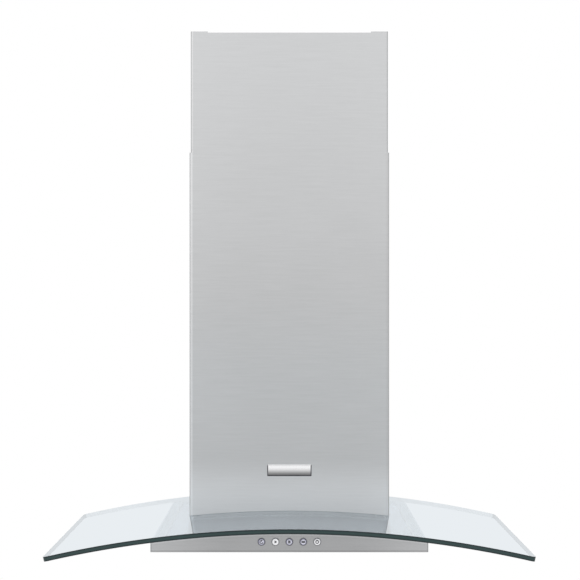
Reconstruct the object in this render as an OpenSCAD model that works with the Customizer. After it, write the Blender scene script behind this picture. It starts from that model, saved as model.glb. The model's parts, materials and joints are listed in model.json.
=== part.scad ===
// Wall mount range hood: a curved glass canopy on a shallow steel body, under a telescopic
// chimney that hides the blower housing.
// X runs to the right, Z runs up and the front faces -Y. The wall is the plane Y = 0.
// The origin is the centre of the wall bracket's hole pattern, on the wall.

/* [Glass canopy] */
// Width of the glass
glass_w = 800; // [700:1:960]
// Depth of the glass, front to back
glass_d = 499; // [460:1:600]
// Thickness of the glass
glass_t = 8; // [6:0.5:10]
// Radius of the glass underside, which sets how far its sides droop
glass_r = 1773; // [1480:1:2200]
// Radius of the glass corners in plan
glass_corner_r = 8; // [4:0.5:16]
// Space between the glass and the wall
glass_wall_gap = 1; // [0.5:0.5:3]
// Space all round between the motor housing and the cut-out in the glass
cutout_gap = 3; // [2:0.5:5]
// Thickness of the rubber gasket under the glass
gasket_t = 1; // [0.5:0.5:2]
// Width of the gasket bands
gasket_band = 19; // [15:1:24]

/* [Canopy body] */
// Width of the steel body
body_w = 453; // [430:1:545]
// Overhang of the glass past the front of the body
glass_overhang = 18; // [8:1:30]
// Height from the bottom of the body to the glass underside at the centre
body_h = 32; // [31:1:39]
// Thickness of the steel sheet in the body, the bottom panel and the housing
sheet_t = 1; // [0.8:0.1:1.2]
// Width of the lips that carry the bottom panel
lip_w = 8; // [7:0.5:8.5]
// Gap round the bottom panel
panel_gap = 0.2; // [0.2:0.1:0.5]
// Radius of the two front corners of the body
body_corner_r = 2; // [1.5:0.5:4]

/* [Chimney] */
// Width of the lower flue
flue_w = 351; // [340:0.1:421.2]
// Depth of the lower flue
flue_d = 285; // [275:1:342]
// Height of the lower flue above the top of the glass at the centre
lower_flue_h = 630.5; // [560:0.5:760]
// Length of the upper flue
upper_flue_len = 500; // [420:1:600]
// Height of the upper flue that shows above the lower one at rest
upper_flue_show = 213.5; // [180:0.5:240]
// Thickness of the flue sheet
flue_t = 0.8; // [0.6:0.1:1.2]
// Space between the two flues
flue_gap = 1.2; // [1:0.1:2]
// Clearance between the glides and the upper flue
glide_clear = 0.2; // [0.1:0.1:0.4]
// Seat gap between the lower flue and the glass
flue_seat_gap = 0.3; // [0.2:0.1:0.6]
// Width of the raised corners at the top of the upper flue
crown_w = 30; // [20:1:50]
// Height of the raised corners
crown_h = 2; // [1:0.5:4]
// Width, height and thickness of the badge plate
badge = [78, 20, 2.5];
// Height of the badge centre above the top of the glass
badge_up = 71.5; // [40:0.5:200]

/* [Wall bracket] */
// Height of the bracket holes above the glass underside
bracket_up = 270; // [250:1:300]
// Radius of each bracket hole
bracket_hole_r = 4; // [3:0.25:5]
// Distance between the two rows of holes
bracket_pitch_z = 30; // [24:1:34]
// Height of the bracket plate
bracket_h = 50; // [46:1:60]
// Thickness of the bracket plate and its hooks
bracket_t = 2.5; // [2:0.5:2.5]
// Width of each hook
hook_w = 30; // [20:1:40]
// Height of each hook's lip above its arm
hook_lip = 12; // [8:1:16]
// Distance of each hook from the centre
hook_x = 100; // [80:1:110]

/* [Motor housing] */
// Space at each side between the housing and the flue, where the glass bolts stand
bolt_space = 24.7; // [22:0.1:30]
// Space between the front of the housing and the flue
front_space = 31.2; // [20:0.1:45]
// Height of the housing's top above the bracket holes
housing_up = 60; // [40:1:90]
// Width of the flange that rests on the body
flange_w = 12; // [9:0.5:14]
// Gap between the housing and the wall
housing_wall_gap = 3; // [3:0.5:4]

/* [Blower] */
// Height of the fan's axis above the glass underside
fan_up = 173; // [160:1:190]
// Width of the scroll
scroll_w = 140; // [120:1:160]
// Wall of the scroll
scroll_t = 2; // [1.5:0.5:3]
// Growth of the scroll's radius from its tongue to its outlet
scroll_growth = 24; // [18:1:28]
// Space between the scroll and the back of the housing
scroll_back = 34; // [30:1:40]
// Space between the scroll and the front of the housing
scroll_front = 6.6; // [4:0.1:12]
// Gap between the scroll's tongue and the impeller
tongue_gap = 8; // [5:1:12]
// Number of impeller blades
blade_count = 32; // [20:1:40]
// Depth of the impeller blades
blade_d = 14; // [10:1:16]
// Gap between each end of the impeller and the scroll
impeller_end_gap = 3; // [2:0.5:6]
// Outer radius of the motor
motor_r = 42; // [36:1:44]
// Length of the motor
motor_l = 78; // [70:1:84]
// Radius of the motor shaft
shaft_r = 4; // [3:0.5:5]
// Radial clearance of running fits
run_clear = 0.05; // [0.02:0.01:0.1]

/* [Outlet] */
// Outer radius of the outlet collar
collar_r = 75; // [60:0.5:75]
// Height of the outlet collar
collar_h = 55; // [45:1:70]
// Wall of the outlet collar
collar_t = 1.5; // [1:0.5:2.5]
// Width of the collar's flange
collar_flange = 10; // [8:1:12]
// Distance of the collar's centre from the wall
collar_back = 110; // [105:1:125]
// Height of the damper flaps above the top of the housing
damper_up = 15; // [12:1:25]
// Thickness of each damper flap
flap_t = 1.2; // [0.8:0.1:2]
// Radius of the damper pin
damper_pin_r = 1.5; // [1:0.25:2]

/* [Buttons] */
// Distance between button centres
button_pitch = 22.7; // [18:0.1:24]
// Height of the button centres above the bottom of the body
button_up = 17; // [15:0.5:18]
// Radius of each button cap
button_r = 5.2; // [4:0.1:6]
// Gap between a cap and its bezel
button_gap = 0.15; // [0.1:0.05:0.3]
// Travel of each button
button_travel = 2.5; // [1.5:0.1:3]
// Projection of each cap past its bezel
button_proud = 1.6; // [1:0.1:2.5]

/* [Filters] */
// Thickness of each grease filter
filter_t = 9; // [8:0.5:10]
// Width of the filter frame's bars
filter_bar = 12; // [10:0.5:16]
// Width of the strip between the two filters
centre_strip = 16; // [15:0.5:20]
// Distance from the side of the body to the filter opening
filter_side = 12.5; // [12:0.5:16]
// Distance from the front of the body to the filter opening
filter_front = 92; // [88:1:110]
// Distance from the wall to the filter opening
filter_rear = 60; // [40:1:80]
// Gap at the sides and the front of each filter
filter_gap = 1; // [0.8:0.1:1.5]
// Gap behind each filter, where its rear edge swings
filter_rear_gap = 2.5; // [2.5:0.1:4]
// Distance of the pivot from the filter's rear edge
pivot_in = 5; // [4.5:0.1:6]
// Radius of the filter pivot pins
pivot_r = 1.5; // [1.2:0.1:2]
// Openings across and along each filter net
net_cells = [10, 16];
// Width of the strands of the net
strand_w = 4; // [2:0.5:6]
// Travel of each latch
latch_travel = 6; // [4:0.5:6]

/* [Lamps] */
// Distance of each lamp from the centre
lamp_x = 165; // [150:1:180]
// Distance of each lamp from the front of the body
lamp_in = 47; // [45:1:50]
// Outer radius of the lamp bezel
lamp_bezel_r = 35; // [32:0.5:36]
// Radius of the lens
lamp_lens_r = 28; // [22:0.5:28]

/* [Hidden] */
arc_fn = 720;
$fn = 64;
eps = 0.01;

// Levels and radii of the canopy
glass_z = -bracket_up;
body_z = glass_z - body_h;
glass_top_z = glass_z + glass_t;
arc_z = glass_z - glass_r;
glass_top_r = glass_r + glass_t;
body_top_r = glass_r - gasket_t;
body_d = glass_d + glass_wall_gap - glass_overhang;
panel_top_z = body_z + sheet_t;

// Levels and sizes of the chimney
lower_top_z = glass_top_z + lower_flue_h;
upper_top_z = lower_top_z + upper_flue_show;
upper_z = upper_top_z - upper_flue_len;
flue_step = flue_t + flue_gap;
upper_flue_w = flue_w - 2 * flue_step;
upper_flue_d = flue_d - flue_step;

// Motor housing, which stands clear inside the flue
housing_w = flue_w - 2 * (flue_t + bolt_space);
housing_d = flue_d - flue_t - front_space - housing_wall_gap;
housing_front = -(housing_d + housing_wall_gap);
housing_back = -housing_wall_gap;

// Glass bolts, in the space beside the housing
bolt_x = (housing_w / 2 + flue_w / 2 - flue_t) / 2;
bolt_ys = [-60, housing_front + 28];
bolt_r = 2.5;
glass_hole_r = 5;
washer_r = 9;
washer_t = 1.5;
bolt_head = [4.6, 3.5];
nut = [4.6, 4];
nut_gap = 0.05;

// Bracket holes, outside the housing and inside the upper flue
bracket_w = upper_flue_w - 2 * flue_t - 9.4;
bracket_pitch_x = (housing_w + bracket_w) / 2;
hook_clear = 0.3;

// Blower, sized to fill the housing's depth
tongue_a = 100;
front_share = (180 - tongue_a) / (360 - tongue_a);
scroll_span = housing_d - 2 * sheet_t - scroll_back - scroll_front;
scroll_r0 = (scroll_span - scroll_growth * (1 + front_share)) / 2;
scroll_max = scroll_r0 + scroll_growth;
fan_y = housing_back - sheet_t - scroll_back - scroll_max;
fan_z = glass_z + fan_up;
impeller_r = scroll_r0 - tongue_gap;
impeller_half = scroll_w / 2 - scroll_t - impeller_end_gap;
inlet_r = impeller_r - blade_d + 4;
web_x = 8;
web_t = 2;
hub_r = 10;
hub_l = 14;
housing_top_z = housing_up;
scroll_top_z = housing_top_z - sheet_t;

// Motor, inside the left half of the impeller
motor_x = -scroll_w / 2 - 10;
motor_wall = 2.5;
bearing = [11, 7];
core_r = 24;
core_gap = 0.5;
core_in = 18;
core_l = 40;
winding_l = 5;
arm_t = 4;
arm_count = 3;
arm_bolt_r = inlet_r + 8;

// Collar and damper
collar_y = -collar_back;
collar_in_r = collar_r - collar_t;
flap_z = housing_top_z + damper_up;
flap_gap = 1;
knuckle_r = 3;
damper_z = flap_z + flap_t / 2;
damper_lip = 3.5;

// Buttons
button_count = 5;
button_z = body_z + button_up;
bezel_in_r = button_r + button_gap;
bezel_sleeve_t = 0.65;
bezel_r = bezel_in_r + 1.25;
bezel_proud = 1;
cap_front = -body_d - bezel_proud - button_proud;
cap_back = -body_d + sheet_t;
stem_r = 3.4;
stem_l = 6;
bore_r = stem_r + 0.2;
bore_l = 16;
switch_margin = 10.6;
switch_box_size = [(button_count - 1) * button_pitch + 2 * switch_margin, 28, 20];

// Filters, mirrored about the centre
filter_x0 = centre_strip / 2 + filter_gap;
filter_x1 = body_w / 2 - filter_side - filter_gap;
filter_y0 = -body_d + filter_front + filter_gap;
filter_y1 = -filter_rear - filter_rear_gap;
filter_mid = (filter_x0 + filter_x1) / 2;
pivot_y = filter_y1 - pivot_in;
pivot_z = body_z + filter_t / 2;
pivot_l = 4;
ear_t = 1.5;
ear_out = 2;
ear_w = 10;
net_t = 1;
net_levels = [2, filter_t - 3];

// Latch pocket and slider in the front bar of each filter
pocket_w = 60;
pocket_wall = [1, 3];
slider_w = 36;
slider_d = 14;
slider_play = 0.3;
slider_z = [body_z + 1.5, body_z + 6.2];
pressed_spring_l = 7.7;
cavity_l = slider_play + slider_d + latch_travel + pressed_spring_l;
pocket_d = pocket_wall[0] + cavity_l + pocket_wall[1];
cavity_front = filter_y0 + filter_bar + pocket_wall[0];
cavity_y = [cavity_front, cavity_front + cavity_l];
tongue = [16, 2];
tongue_z = body_z + 2.5;
finger = [22, 9, 3];
latch_spring_r = 1.5;
latch_wire_r = 0.3;

// Lamps
lamp_y = -body_d + lamp_in;
lamp_body_r = lamp_bezel_r - 5;
lamp_body_h = 10;
bezel_drop = 1.5;
lens_t = 2;

// Wiring and boxes
loom_r = 3.5;
loom_gap = 1.6;
loom_x = housing_w / 2 - flange_w - 6;
box_x = [collar_r + collar_flange + 5, housing_w / 2 - 4];
box_y = [-200, -80];
box_h = 40;
box_t = 1.5;
loom_end_y = box_y[0] + 10;
gland_y = box_y[0] + 60;
gland_r = 9;
gland_h = 14;
gland_bore_r = 4;
driver = [60, 30, 15];
driver_x = -125;
lead_r = 1.5;
lead_z = panel_top_z + 6;

// Screws
screw_r = 1.5;
screw_hole = 1.6;
panel_screw = [3, 5];
pan_head = [3.2, 2];

// Block between two values on each axis
module block(x, y, z) {
  translate([x[0], y[0], z[0]])
    cube([x[1] - x[0], y[1] - y[0], z[1] - z[0]]);
}

// Round bar along X
module rod_x(r, x, y, z) {
  translate([x[0], y, z])
    rotate([0, 90, 0])
      cylinder(h = x[1] - x[0], r = r);
}

// Round bar along Y
module rod_y(r, x, y, z) {
  translate([x, y[0], z])
    rotate([-90, 0, 0])
      cylinder(h = y[1] - y[0], r = r);
}

// Round bar along Z
module rod_z(r, x, y, z) {
  translate([x, y, z[0]])
    cylinder(h = z[1] - z[0], r = r);
}

// Everything below the arc of radius r that the glass and the body top follow
module arc_solid(r, y) {
  translate([0, y[0], arc_z])
    rotate([-90, 0, 0])
      cylinder(h = y[1] - y[0], r = r, $fn = arc_fn);
}

// Curved sheet between two radii of that arc
module arc_sheet(r, y) {
  difference() {
    arc_solid(r[1], y);
    arc_solid(r[0], [y[0] - 1, y[1] + 1]);
  }
}

// Places children on the arc at a distance x from the centre, square to the arc
module on_arc(x, y, r) {
  translate([0, y, arc_z])
    rotate([0, asin(x / r), 0])
      translate([0, 0, r])
        children();
}

// Rectangle from y0 to y1, centred on X, with its two front corners rounded
module front_rounded(w, y, r) {
  translate([-w / 2, y[0] + r])
    square([w, y[1] - y[0] - r]);
  translate([-w / 2 + r, y[0]])
    square([w - 2 * r, r + eps]);
  for (s = [-1, 1])
    translate([s * (w / 2 - r), y[0] + r])
      circle(r = r);
}

// Rectangle from y0 to y1, centred on X, with all corners rounded
module all_rounded(w, y, r) {
  translate([-w / 2, y[0] + r])
    square([w, y[1] - y[0] - 2 * r]);
  translate([-w / 2 + r, y[0]])
    square([w - 2 * r, y[1] - y[0]]);
  for (s = [-1, 1], v = [y[0] + r, y[1] - r])
    translate([s * (w / 2 - r), v])
      circle(r = r);
}

// Places one copy on each side of the centre
module both_sides() {
  children();
  mirror([1, 0, 0])
    children();
}

// Tube swept along a list of points
function unit(v) = v / norm(v);
function tangents(p) = [
  for (i = [0 : len(p) - 1])
    unit(p[min(i + 1, len(p) - 1)] - p[max(i - 1, 0)])
];
function square_to(n, t) = unit(n - (n * t) * t);
function carried(t, first) = [
  for (i = 0, n = square_to(first, t[0]); i < len(t);
       i = i + 1, n = square_to(n, t[min(i, len(t) - 1)]))
    n
];
module tube(points, r, sides, first = [0, 0, 1]) {
  t = tangents(points);
  n = carried(t, first);
  rings = len(points);
  corners = [
    for (i = [0 : rings - 1], k = [0 : sides - 1])
      let (a = 360 * k / sides)
        points[i] + r * (cos(a) * n[i] + sin(a) * cross(t[i], n[i]))
  ];
  walls = [
    for (i = [0 : rings - 2], k = [0 : sides - 1])
      let (a = i * sides + k, b = i * sides + (k + 1) % sides)
        each [[a, b + sides, b], [a, a + sides, b + sides]]
  ];
  caps = [
    [for (k = [0 : sides - 1]) k],
    [for (k = [sides - 1 : -1 : 0]) (rings - 1) * sides + k]
  ];
  polyhedron(points = corners, faces = concat(walls, caps), convexity = 10);
}

// Route through points with a rounded bend at each one between the ends
function bend(a, b, c, r) = [
  for (t = [0 : 0.25 : 1])
    let (p = b + unit(a - b) * r, q = b + unit(c - b) * r)
      (1 - t) * (1 - t) * p + 2 * t * (1 - t) * b + t * t * q
];
function rounded(p, r) = concat(
  [p[0]],
  [for (i = [1 : len(p) - 2]) each bend(p[i - 1], p[i], p[i + 1], r)],
  [p[len(p) - 1]]
);

// Coil spring along +Y from the origin, outer ends flush with its length
module spring(r, wire, length, turns) {
  steps = 8 * turns;
  tube(
    [
      for (i = [0 : steps])
        [r * cos(45 * i), wire + (length - 2 * wire) * i / steps, r * sin(45 * i)]
    ],
    wire, 6, [1, 0, 0]
  );
}

// Body

module body_prism(inset, z) {
  translate([0, 0, z[0]])
    linear_extrude(z[1] - z[0])
      front_rounded(
        body_w - 2 * inset, [-body_d + inset, -inset], max(body_corner_r - inset, 0.5)
      );
}

module canopy_body() {
  span = [-body_d - 1, 1];
  color("silver")
    difference() {
      union() {
        difference() {
          intersection() {
            body_prism(0, [body_z, glass_z]);
            arc_solid(body_top_r, span);
          }
          intersection() {
            body_prism(sheet_t, [body_z - 1, glass_z + 1]);
            arc_solid(body_top_r - sheet_t, span);
          }
        }
        difference() {
          body_prism(sheet_t / 2, [panel_top_z, panel_top_z + sheet_t]);
          block(
            [-body_w / 2 + sheet_t + lip_w, body_w / 2 - sheet_t - lip_w],
            [-body_d + sheet_t + lip_w, -sheet_t - lip_w],
            [body_z, panel_top_z + 2 * sheet_t]
          );
        }
      }
      housing_opening([glass_z - body_h, glass_z + 5]);
      for (x = button_xs())
        rod_y(bezel_in_r + bezel_sleeve_t, x, [-body_d - 1, -body_d + sheet_t + 1], button_z);
      glass_bolt_places()
        translate([0, 0, -gasket_t - sheet_t - 1])
          cylinder(h = sheet_t + 2, r = bolt_r + 0.1);
      flange_screw_places()
        translate([0, 0, -sheet_t - 1])
          cylinder(h = sheet_t + 2, r = screw_hole);
      panel_screw_places()
        rod_z(screw_r, 0, 0, [body_z, body_z + 3]);
    }
}

// Opening in the body top, framed by the housing flange
module housing_opening(z) {
  block(
    [-housing_w / 2 + flange_w, housing_w / 2 - flange_w],
    [housing_front + flange_w, housing_back - flange_w],
    z
  );
}

module bottom_panel() {
  inset = sheet_t + panel_gap;
  color("silver")
    difference() {
      body_prism(inset, [body_z, panel_top_z]);
      both_sides()
        union() {
          block(
            [filter_x0 - filter_gap, filter_x1 + filter_gap],
            [filter_y0 - filter_gap, filter_y1 + filter_rear_gap],
            [body_z - 1, panel_top_z + 1]
          );
          rod_z(lamp_body_r + 1, lamp_x, lamp_y, [body_z - 1, panel_top_z + 1]);
        }
      panel_screw_places()
        rod_z(panel_screw[0] + 0.05, 0, 0, [body_z - 1, panel_top_z + 1]);
    }
}

function panel_screw_xs() = body_w / 2 - sheet_t - lip_w / 2;

module panel_screw_places() {
  both_sides()
    union() {
      for (y = [-40, -body_d / 2, -body_d + 40])
        translate([panel_screw_xs(), y, 0])
          children();
      for (y = [-sheet_t - lip_w / 2, -body_d + sheet_t + lip_w / 2])
        translate([body_w / 4, y, 0])
          children();
    }
}

// Glass

module glass_cutout(z) {
  block(
    [-housing_w / 2 - cutout_gap, housing_w / 2 + cutout_gap],
    [housing_front - cutout_gap, 1],
    z
  );
}

module glass_bolt_places() {
  for (s = [-1, 1], y = bolt_ys)
    on_arc(s * bolt_x, y, glass_r)
      children();
}

module glass_canopy() {
  y = [-glass_d - glass_wall_gap, -glass_wall_gap];
  edge = glass_w / 2;
  droop = glass_r - sqrt(glass_r * glass_r - edge * edge) + 5;
  color([0.75, 0.84, 0.86, 0.5])
    difference() {
      intersection() {
        translate([0, 0, glass_z - droop])
          linear_extrude(droop + glass_t + 1)
            all_rounded(glass_w, y, glass_corner_r);
        arc_sheet([glass_r, glass_top_r], [y[0] - 1, y[1] + 1]);
      }
      glass_cutout([glass_z - 30, glass_top_z + 5]);
      glass_bolt_places()
        translate([0, 0, -2])
          cylinder(h = glass_t + 4, r = glass_hole_r);
    }
}

module glass_gasket() {
  margin = 2;
  side = body_w / 2 - margin - gasket_band;
  front = -body_d + margin + gasket_band;
  cut_side = housing_w / 2 + cutout_gap + gasket_band;
  cut_front = housing_front - cutout_gap - gasket_band;
  z = [glass_z - 40, glass_z + 5];
  color("whitesmoke")
    difference() {
      intersection() {
        body_prism(margin, z);
        arc_sheet([body_top_r, glass_r], [-body_d - 1, 1]);
      }
      glass_cutout(z);
      block([-side, side], [front, cut_front], z);
      both_sides()
        block([cut_side, side], [cut_front, -margin - gasket_band], z);
      glass_bolt_places()
        translate([0, 0, -4])
          cylinder(h = 8, r = glass_hole_r);
    }
}

module glass_grommets() {
  color("dimgray")
    glass_bolt_places()
      difference() {
        union() {
          translate([0, 0, glass_t])
            cylinder(h = washer_t, r = washer_r);
          translate([0, 0, -gasket_t])
            cylinder(h = glass_t + gasket_t + eps, r = glass_hole_r - 0.1);
        }
        translate([0, 0, -gasket_t - 1])
          cylinder(h = glass_t + washer_t + 4, r = bolt_r + 0.1);
      }
}

module glass_bolts() {
  low = -gasket_t - sheet_t - nut_gap - nut[1];
  color("gainsboro")
    glass_bolt_places()
      union() {
        translate([0, 0, glass_t + washer_t])
          cylinder(h = bolt_head[1], r = bolt_head[0]);
        translate([0, 0, low - 2])
          cylinder(h = glass_t + washer_t - low + 3, r = bolt_r);
        translate([0, 0, low])
          cylinder(h = nut[1], r = nut[0], $fn = 6);
      }
}

// Motor housing and wall bracket

module flange_screw_places() {
  for (s = [-1, 1], y = [housing_back - 45, housing_front + 60])
    on_arc(s * (housing_w / 2 - flange_w / 2 - sheet_t / 2), y, body_top_r)
      children();
  for (s = [-1, 1])
    on_arc(s * housing_w / 4, housing_front + flange_w / 2 + sheet_t / 2, body_top_r)
      children();
}

module housing_block(inset, z) {
  block(
    [-housing_w / 2 + inset, housing_w / 2 - inset],
    [housing_front + inset, housing_back - inset],
    z
  );
}

module motor_housing() {
  span = [housing_front - 2, 2];
  color("lightgray")
    difference() {
      union() {
        difference() {
          housing_block(0, [glass_z - 20, housing_top_z]);
          housing_block(sheet_t, [glass_z - 30, housing_top_z - sheet_t]);
          arc_solid(body_top_r, span);
        }
        intersection() {
          housing_block(sheet_t / 2, [glass_z - 20, glass_z + 5]);
          arc_sheet([body_top_r, body_top_r + sheet_t], span);
        }
      }
      housing_opening([glass_z - 30, glass_z + 6]);
      flange_screw_places()
        translate([0, 0, -1])
          cylinder(h = sheet_t + 3, r = screw_r);
      for (s = [-1, 1])
        block(
          [s * hook_x - hook_w / 2 - 1, s * hook_x + hook_w / 2 + 1],
          [housing_back - 2 * sheet_t, housing_back + 1],
          [-5, bracket_t]
        );
      rod_z(collar_in_r, 0, collar_y, [housing_top_z - 5, housing_top_z + 5]);
      collar_screw_places()
        rod_z(screw_r, 0, 0, [housing_top_z - 5, housing_top_z + 5]);
      rod_z(loom_r + 1, loom_x, loom_end_y, [housing_top_z - 5, housing_top_z + 5]);
    }
}

module collar_screw_places() {
  for (a = [45, 135, 225, 315])
    translate([0, collar_y, 0])
      rotate([0, 0, a])
        translate([collar_r + collar_flange / 2, 0, 0])
          children();
}

module wall_bracket() {
  lip_back = housing_back - sheet_t - hook_clear;
  lip_front = lip_back - bracket_t;
  color("silver")
    difference() {
      union() {
        block([-bracket_w / 2, bracket_w / 2], [-bracket_t, 0], [-bracket_h / 2, bracket_h / 2]);
        for (s = [-1, 1])
          translate([s * hook_x, 0, 0]) {
            block([-hook_w / 2, hook_w / 2], [lip_front, -bracket_t / 2], [0, bracket_t]);
            block([-hook_w / 2, hook_w / 2], [lip_front, lip_back], [0, bracket_t + hook_lip]);
          }
      }
      for (x = [-1, 1], z = [-1, 1])
        rod_y(
          bracket_hole_r, x * bracket_pitch_x / 2, [-bracket_t - 1, 1], z * bracket_pitch_z / 2
        );
    }
}

// Outlet collar with its two damper flaps

module outlet_collar() {
  z = housing_top_z;
  lip_z = flap_z - 2;
  color("whitesmoke")
    difference() {
      union() {
        difference() {
          union() {
            rod_z(collar_r + collar_flange, 0, collar_y, [z, z + collar_t]);
            rod_z(collar_r, 0, collar_y, [z, z + collar_h]);
          }
          rod_z(collar_in_r, 0, collar_y, [z - 1, z + collar_h + 1]);
        }
        difference() {
          rod_z(collar_r - collar_t / 2, 0, collar_y, [lip_z, flap_z]);
          rod_z(collar_in_r - damper_lip, 0, collar_y, [lip_z - 1, flap_z + 1]);
          block(
            [-collar_in_r, collar_in_r],
            [collar_y - knuckle_r - 2, collar_y + knuckle_r + 2],
            [lip_z - 1, flap_z + 1]
          );
        }
      }
      rod_x(damper_pin_r + run_clear, [-collar_r - 1, collar_r + 1], collar_y, damper_z);
      collar_screw_places()
        rod_z(screw_r, 0, 0, [z - 1, z + collar_t + 1]);
    }
}

module damper_pin() {
  color("gray")
    rod_x(damper_pin_r, [-collar_r + 0.2, collar_r - 0.2], collar_y, damper_z);
}

// One half disc with its two knuckles, on the +Y side of the pin at the origin
module flap(knuckles) {
  plate = collar_in_r - flap_gap;
  clear = knuckle_r + 0.5;
  difference() {
    union() {
      intersection() {
        rod_z(plate, 0, 0, [-flap_t / 2, flap_t / 2]);
        block([-plate, plate], [clear, plate + 1], [-flap_t, flap_t]);
      }
      for (x = knuckles) {
        rod_x(knuckle_r, [x - 6, x + 6], 0, 0);
        block([x - 6, x + 6], [0, clear + 2], [-flap_t / 2, flap_t / 2]);
      }
    }
    rod_x(damper_pin_r + run_clear, [-plate - 1, plate + 1], 0, 0);
  }
}

module damper_flap_front() {
  color("lightgray")
    translate([0, collar_y, damper_z])
      rotate([0, 0, 180])
        flap([-45, 45]);
}

module damper_flap_rear() {
  color("lightgray")
    translate([0, collar_y, damper_z])
      flap([-20, 20]);
}

// Blower

function spiral(inset) = [
  for (a = [tongue_a : 10 : 360])
    let (r = scroll_r0 + scroll_growth * (a - tongue_a) / (360 - tongue_a) - inset)
      [fan_y + r * cos(a), fan_z + r * sin(a)]
];
function scroll_outline(inset, top) = concat(
  spiral(inset),
  [[fan_y + scroll_max - inset, top], [collar_y - collar_r + inset, top]]
);

// Extrudes an outline drawn in Y and Z along X
module along_x(x, length) {
  translate([x, 0, 0])
    rotate([90, 0, 90])
      linear_extrude(length)
        children();
}

// The half of the scroll on the +X side
module scroll_half() {
  half = scroll_w / 2;
  difference() {
    along_x(0, half)
      polygon(scroll_outline(0, scroll_top_z));
    along_x(-1, half - scroll_t + 1)
      polygon(scroll_outline(scroll_t, scroll_top_z + 1));
    rod_x(inlet_r, [half - scroll_t - 1, half + 1], fan_y, fan_z);
  }
}

module scroll_right() {
  half = scroll_w / 2;
  color("gainsboro")
    union() {
      scroll_half();
      difference() {
        rod_x(inlet_r + 3, [half - eps, half + 6], fan_y, fan_z);
        rod_x(inlet_r, [half - 1, half + 7], fan_y, fan_z);
      }
    }
}

module scroll_left() {
  color("gainsboro")
    difference() {
      mirror([1, 0, 0])
        scroll_half();
      arm_screw_places()
        rod_x(screw_r, [-1, scroll_t + 1], 0, 0);
    }
}

module impeller() {
  inner = impeller_r - blade_d;
  color("darkslategray")
    difference() {
      translate([0, fan_y, fan_z])
        union() {
          along_x(-impeller_half, 2 * impeller_half)
            for (i = [0 : blade_count - 1])
              rotate(360 * i / blade_count)
                translate([inner + 1, 0])
                  rotate(28)
                    square([blade_d - 1, 1.4]);
          for (x = [-impeller_half, impeller_half - 2])
            difference() {
              rod_x(impeller_r, [x, x + 2], 0, 0);
              rod_x(inner, [x - 1, x + 3], 0, 0);
            }
          rod_x(impeller_r, [web_x, web_x + web_t], 0, 0);
          rod_x(hub_r, [web_x, web_x + hub_l], 0, 0);
        }
      rod_x(shaft_r, [web_x - 1, web_x + hub_l + 1], fan_y, fan_z);
    }
}

module motor_shaft() {
  color("lightsteelblue")
    rod_x(shaft_r, [motor_x + 1, web_x + hub_l], fan_y, fan_z);
}

module rotor_core() {
  color("slategray")
    difference() {
      rod_x(core_r, [motor_x + core_in, motor_x + core_in + core_l], fan_y, fan_z);
      rod_x(shaft_r, [motor_x, motor_x + motor_l], fan_y, fan_z);
    }
}

module stator_core() {
  color("slategray")
    difference() {
      rod_x(
        motor_r - motor_wall, [motor_x + core_in, motor_x + core_in + core_l], fan_y, fan_z
      );
      rod_x(core_r + core_gap, [motor_x, motor_x + motor_l], fan_y, fan_z);
    }
}

module stator_windings() {
  starts = [motor_x + core_in - winding_l, motor_x + core_in + core_l];
  color("peru")
    for (x = starts)
      difference() {
        rod_x(motor_r - motor_wall - 2.5, [x, x + winding_l], fan_y, fan_z);
        rod_x(core_r + 2, [x - 1, x + winding_l + 1], fan_y, fan_z);
      }
}

function bearing_xs() = [
  motor_x + motor_wall, motor_x + motor_l - motor_wall - bearing[1]
];

module motor_casing() {
  x = [motor_x, motor_x + motor_l];
  color("silver")
    union() {
      difference() {
        rod_x(motor_r, x, fan_y, fan_z);
        rod_x(motor_r - motor_wall, [x[0] + motor_wall, x[1] - motor_wall], fan_y, fan_z);
        rod_x(shaft_r + 2, [x[0] - 1, x[1] + 1], fan_y, fan_z);
      }
      for (b = bearing_xs())
        difference() {
          rod_x(bearing[0] + 2.5, [b - 0.5, b + bearing[1]], fan_y, fan_z);
          rod_x(bearing[0], [b, b + bearing[1] + 1], fan_y, fan_z);
          rod_x(shaft_r + 2, [b - 1, b + 1], fan_y, fan_z);
        }
    }
}

module motor_bearings() {
  color("gold")
    for (b = bearing_xs())
      difference() {
        rod_x(bearing[0], [b, b + bearing[1]], fan_y, fan_z);
        rod_x(shaft_r + run_clear, [b - 1, b + bearing[1] + 1], fan_y, fan_z);
      }
}

module arm_screw_places() {
  translate([-scroll_w / 2, fan_y, fan_z])
    for (i = [0 : arm_count - 1])
      rotate([360 * i / arm_count + 90, 0, 0])
        translate([0, arm_bolt_r, 0])
          children();
}

module motor_arms() {
  x = [-scroll_w / 2 - arm_t, -scroll_w / 2];
  color("silver")
    difference() {
      union() {
        rod_x(motor_r + 5, x, fan_y, fan_z);
        translate([0, fan_y, fan_z])
          for (i = [0 : arm_count - 1])
            rotate([360 * i / arm_count + 90, 0, 0])
              block(x, [motor_r + 1, arm_bolt_r + 6], [-6, 6]);
      }
      rod_x(motor_r, [x[0] - 1, x[1] + 1], fan_y, fan_z);
      arm_screw_places()
        rod_x(screw_r, [-arm_t - 1, 1], 0, 0);
    }
}

module capacitor() {
  r = 14;
  wall = housing_w / 2 - sheet_t;
  y = housing_back - 60;
  z = [fan_z + 45, fan_z + 105];
  color("ghostwhite")
    union() {
      rod_z(r, wall - r - 1, y, z);
      block([wall - r, wall], [y - 6, y + 6], [z[0] + 10, z[1] - 10]);
    }
}

// Chimney

// Three-sided sheet that opens to the wall
module flue_sheet(w, d, z) {
  translate([0, 0, z[0]])
    linear_extrude(z[1] - z[0])
      difference() {
        front_rounded(w, [-d, 0], 1.5);
        front_rounded(w - 2 * flue_t, [-d + flue_t, 1], 0.7);
      }
}

function clip_ys() = [-40, housing_front + 40];
clip_z = glass_top_z + 57;
clip_w = 20;
clip_h = 40;

module clip_screw_places() {
  for (y = clip_ys())
    translate([flue_w / 2, y, clip_z])
      children();
}

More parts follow.
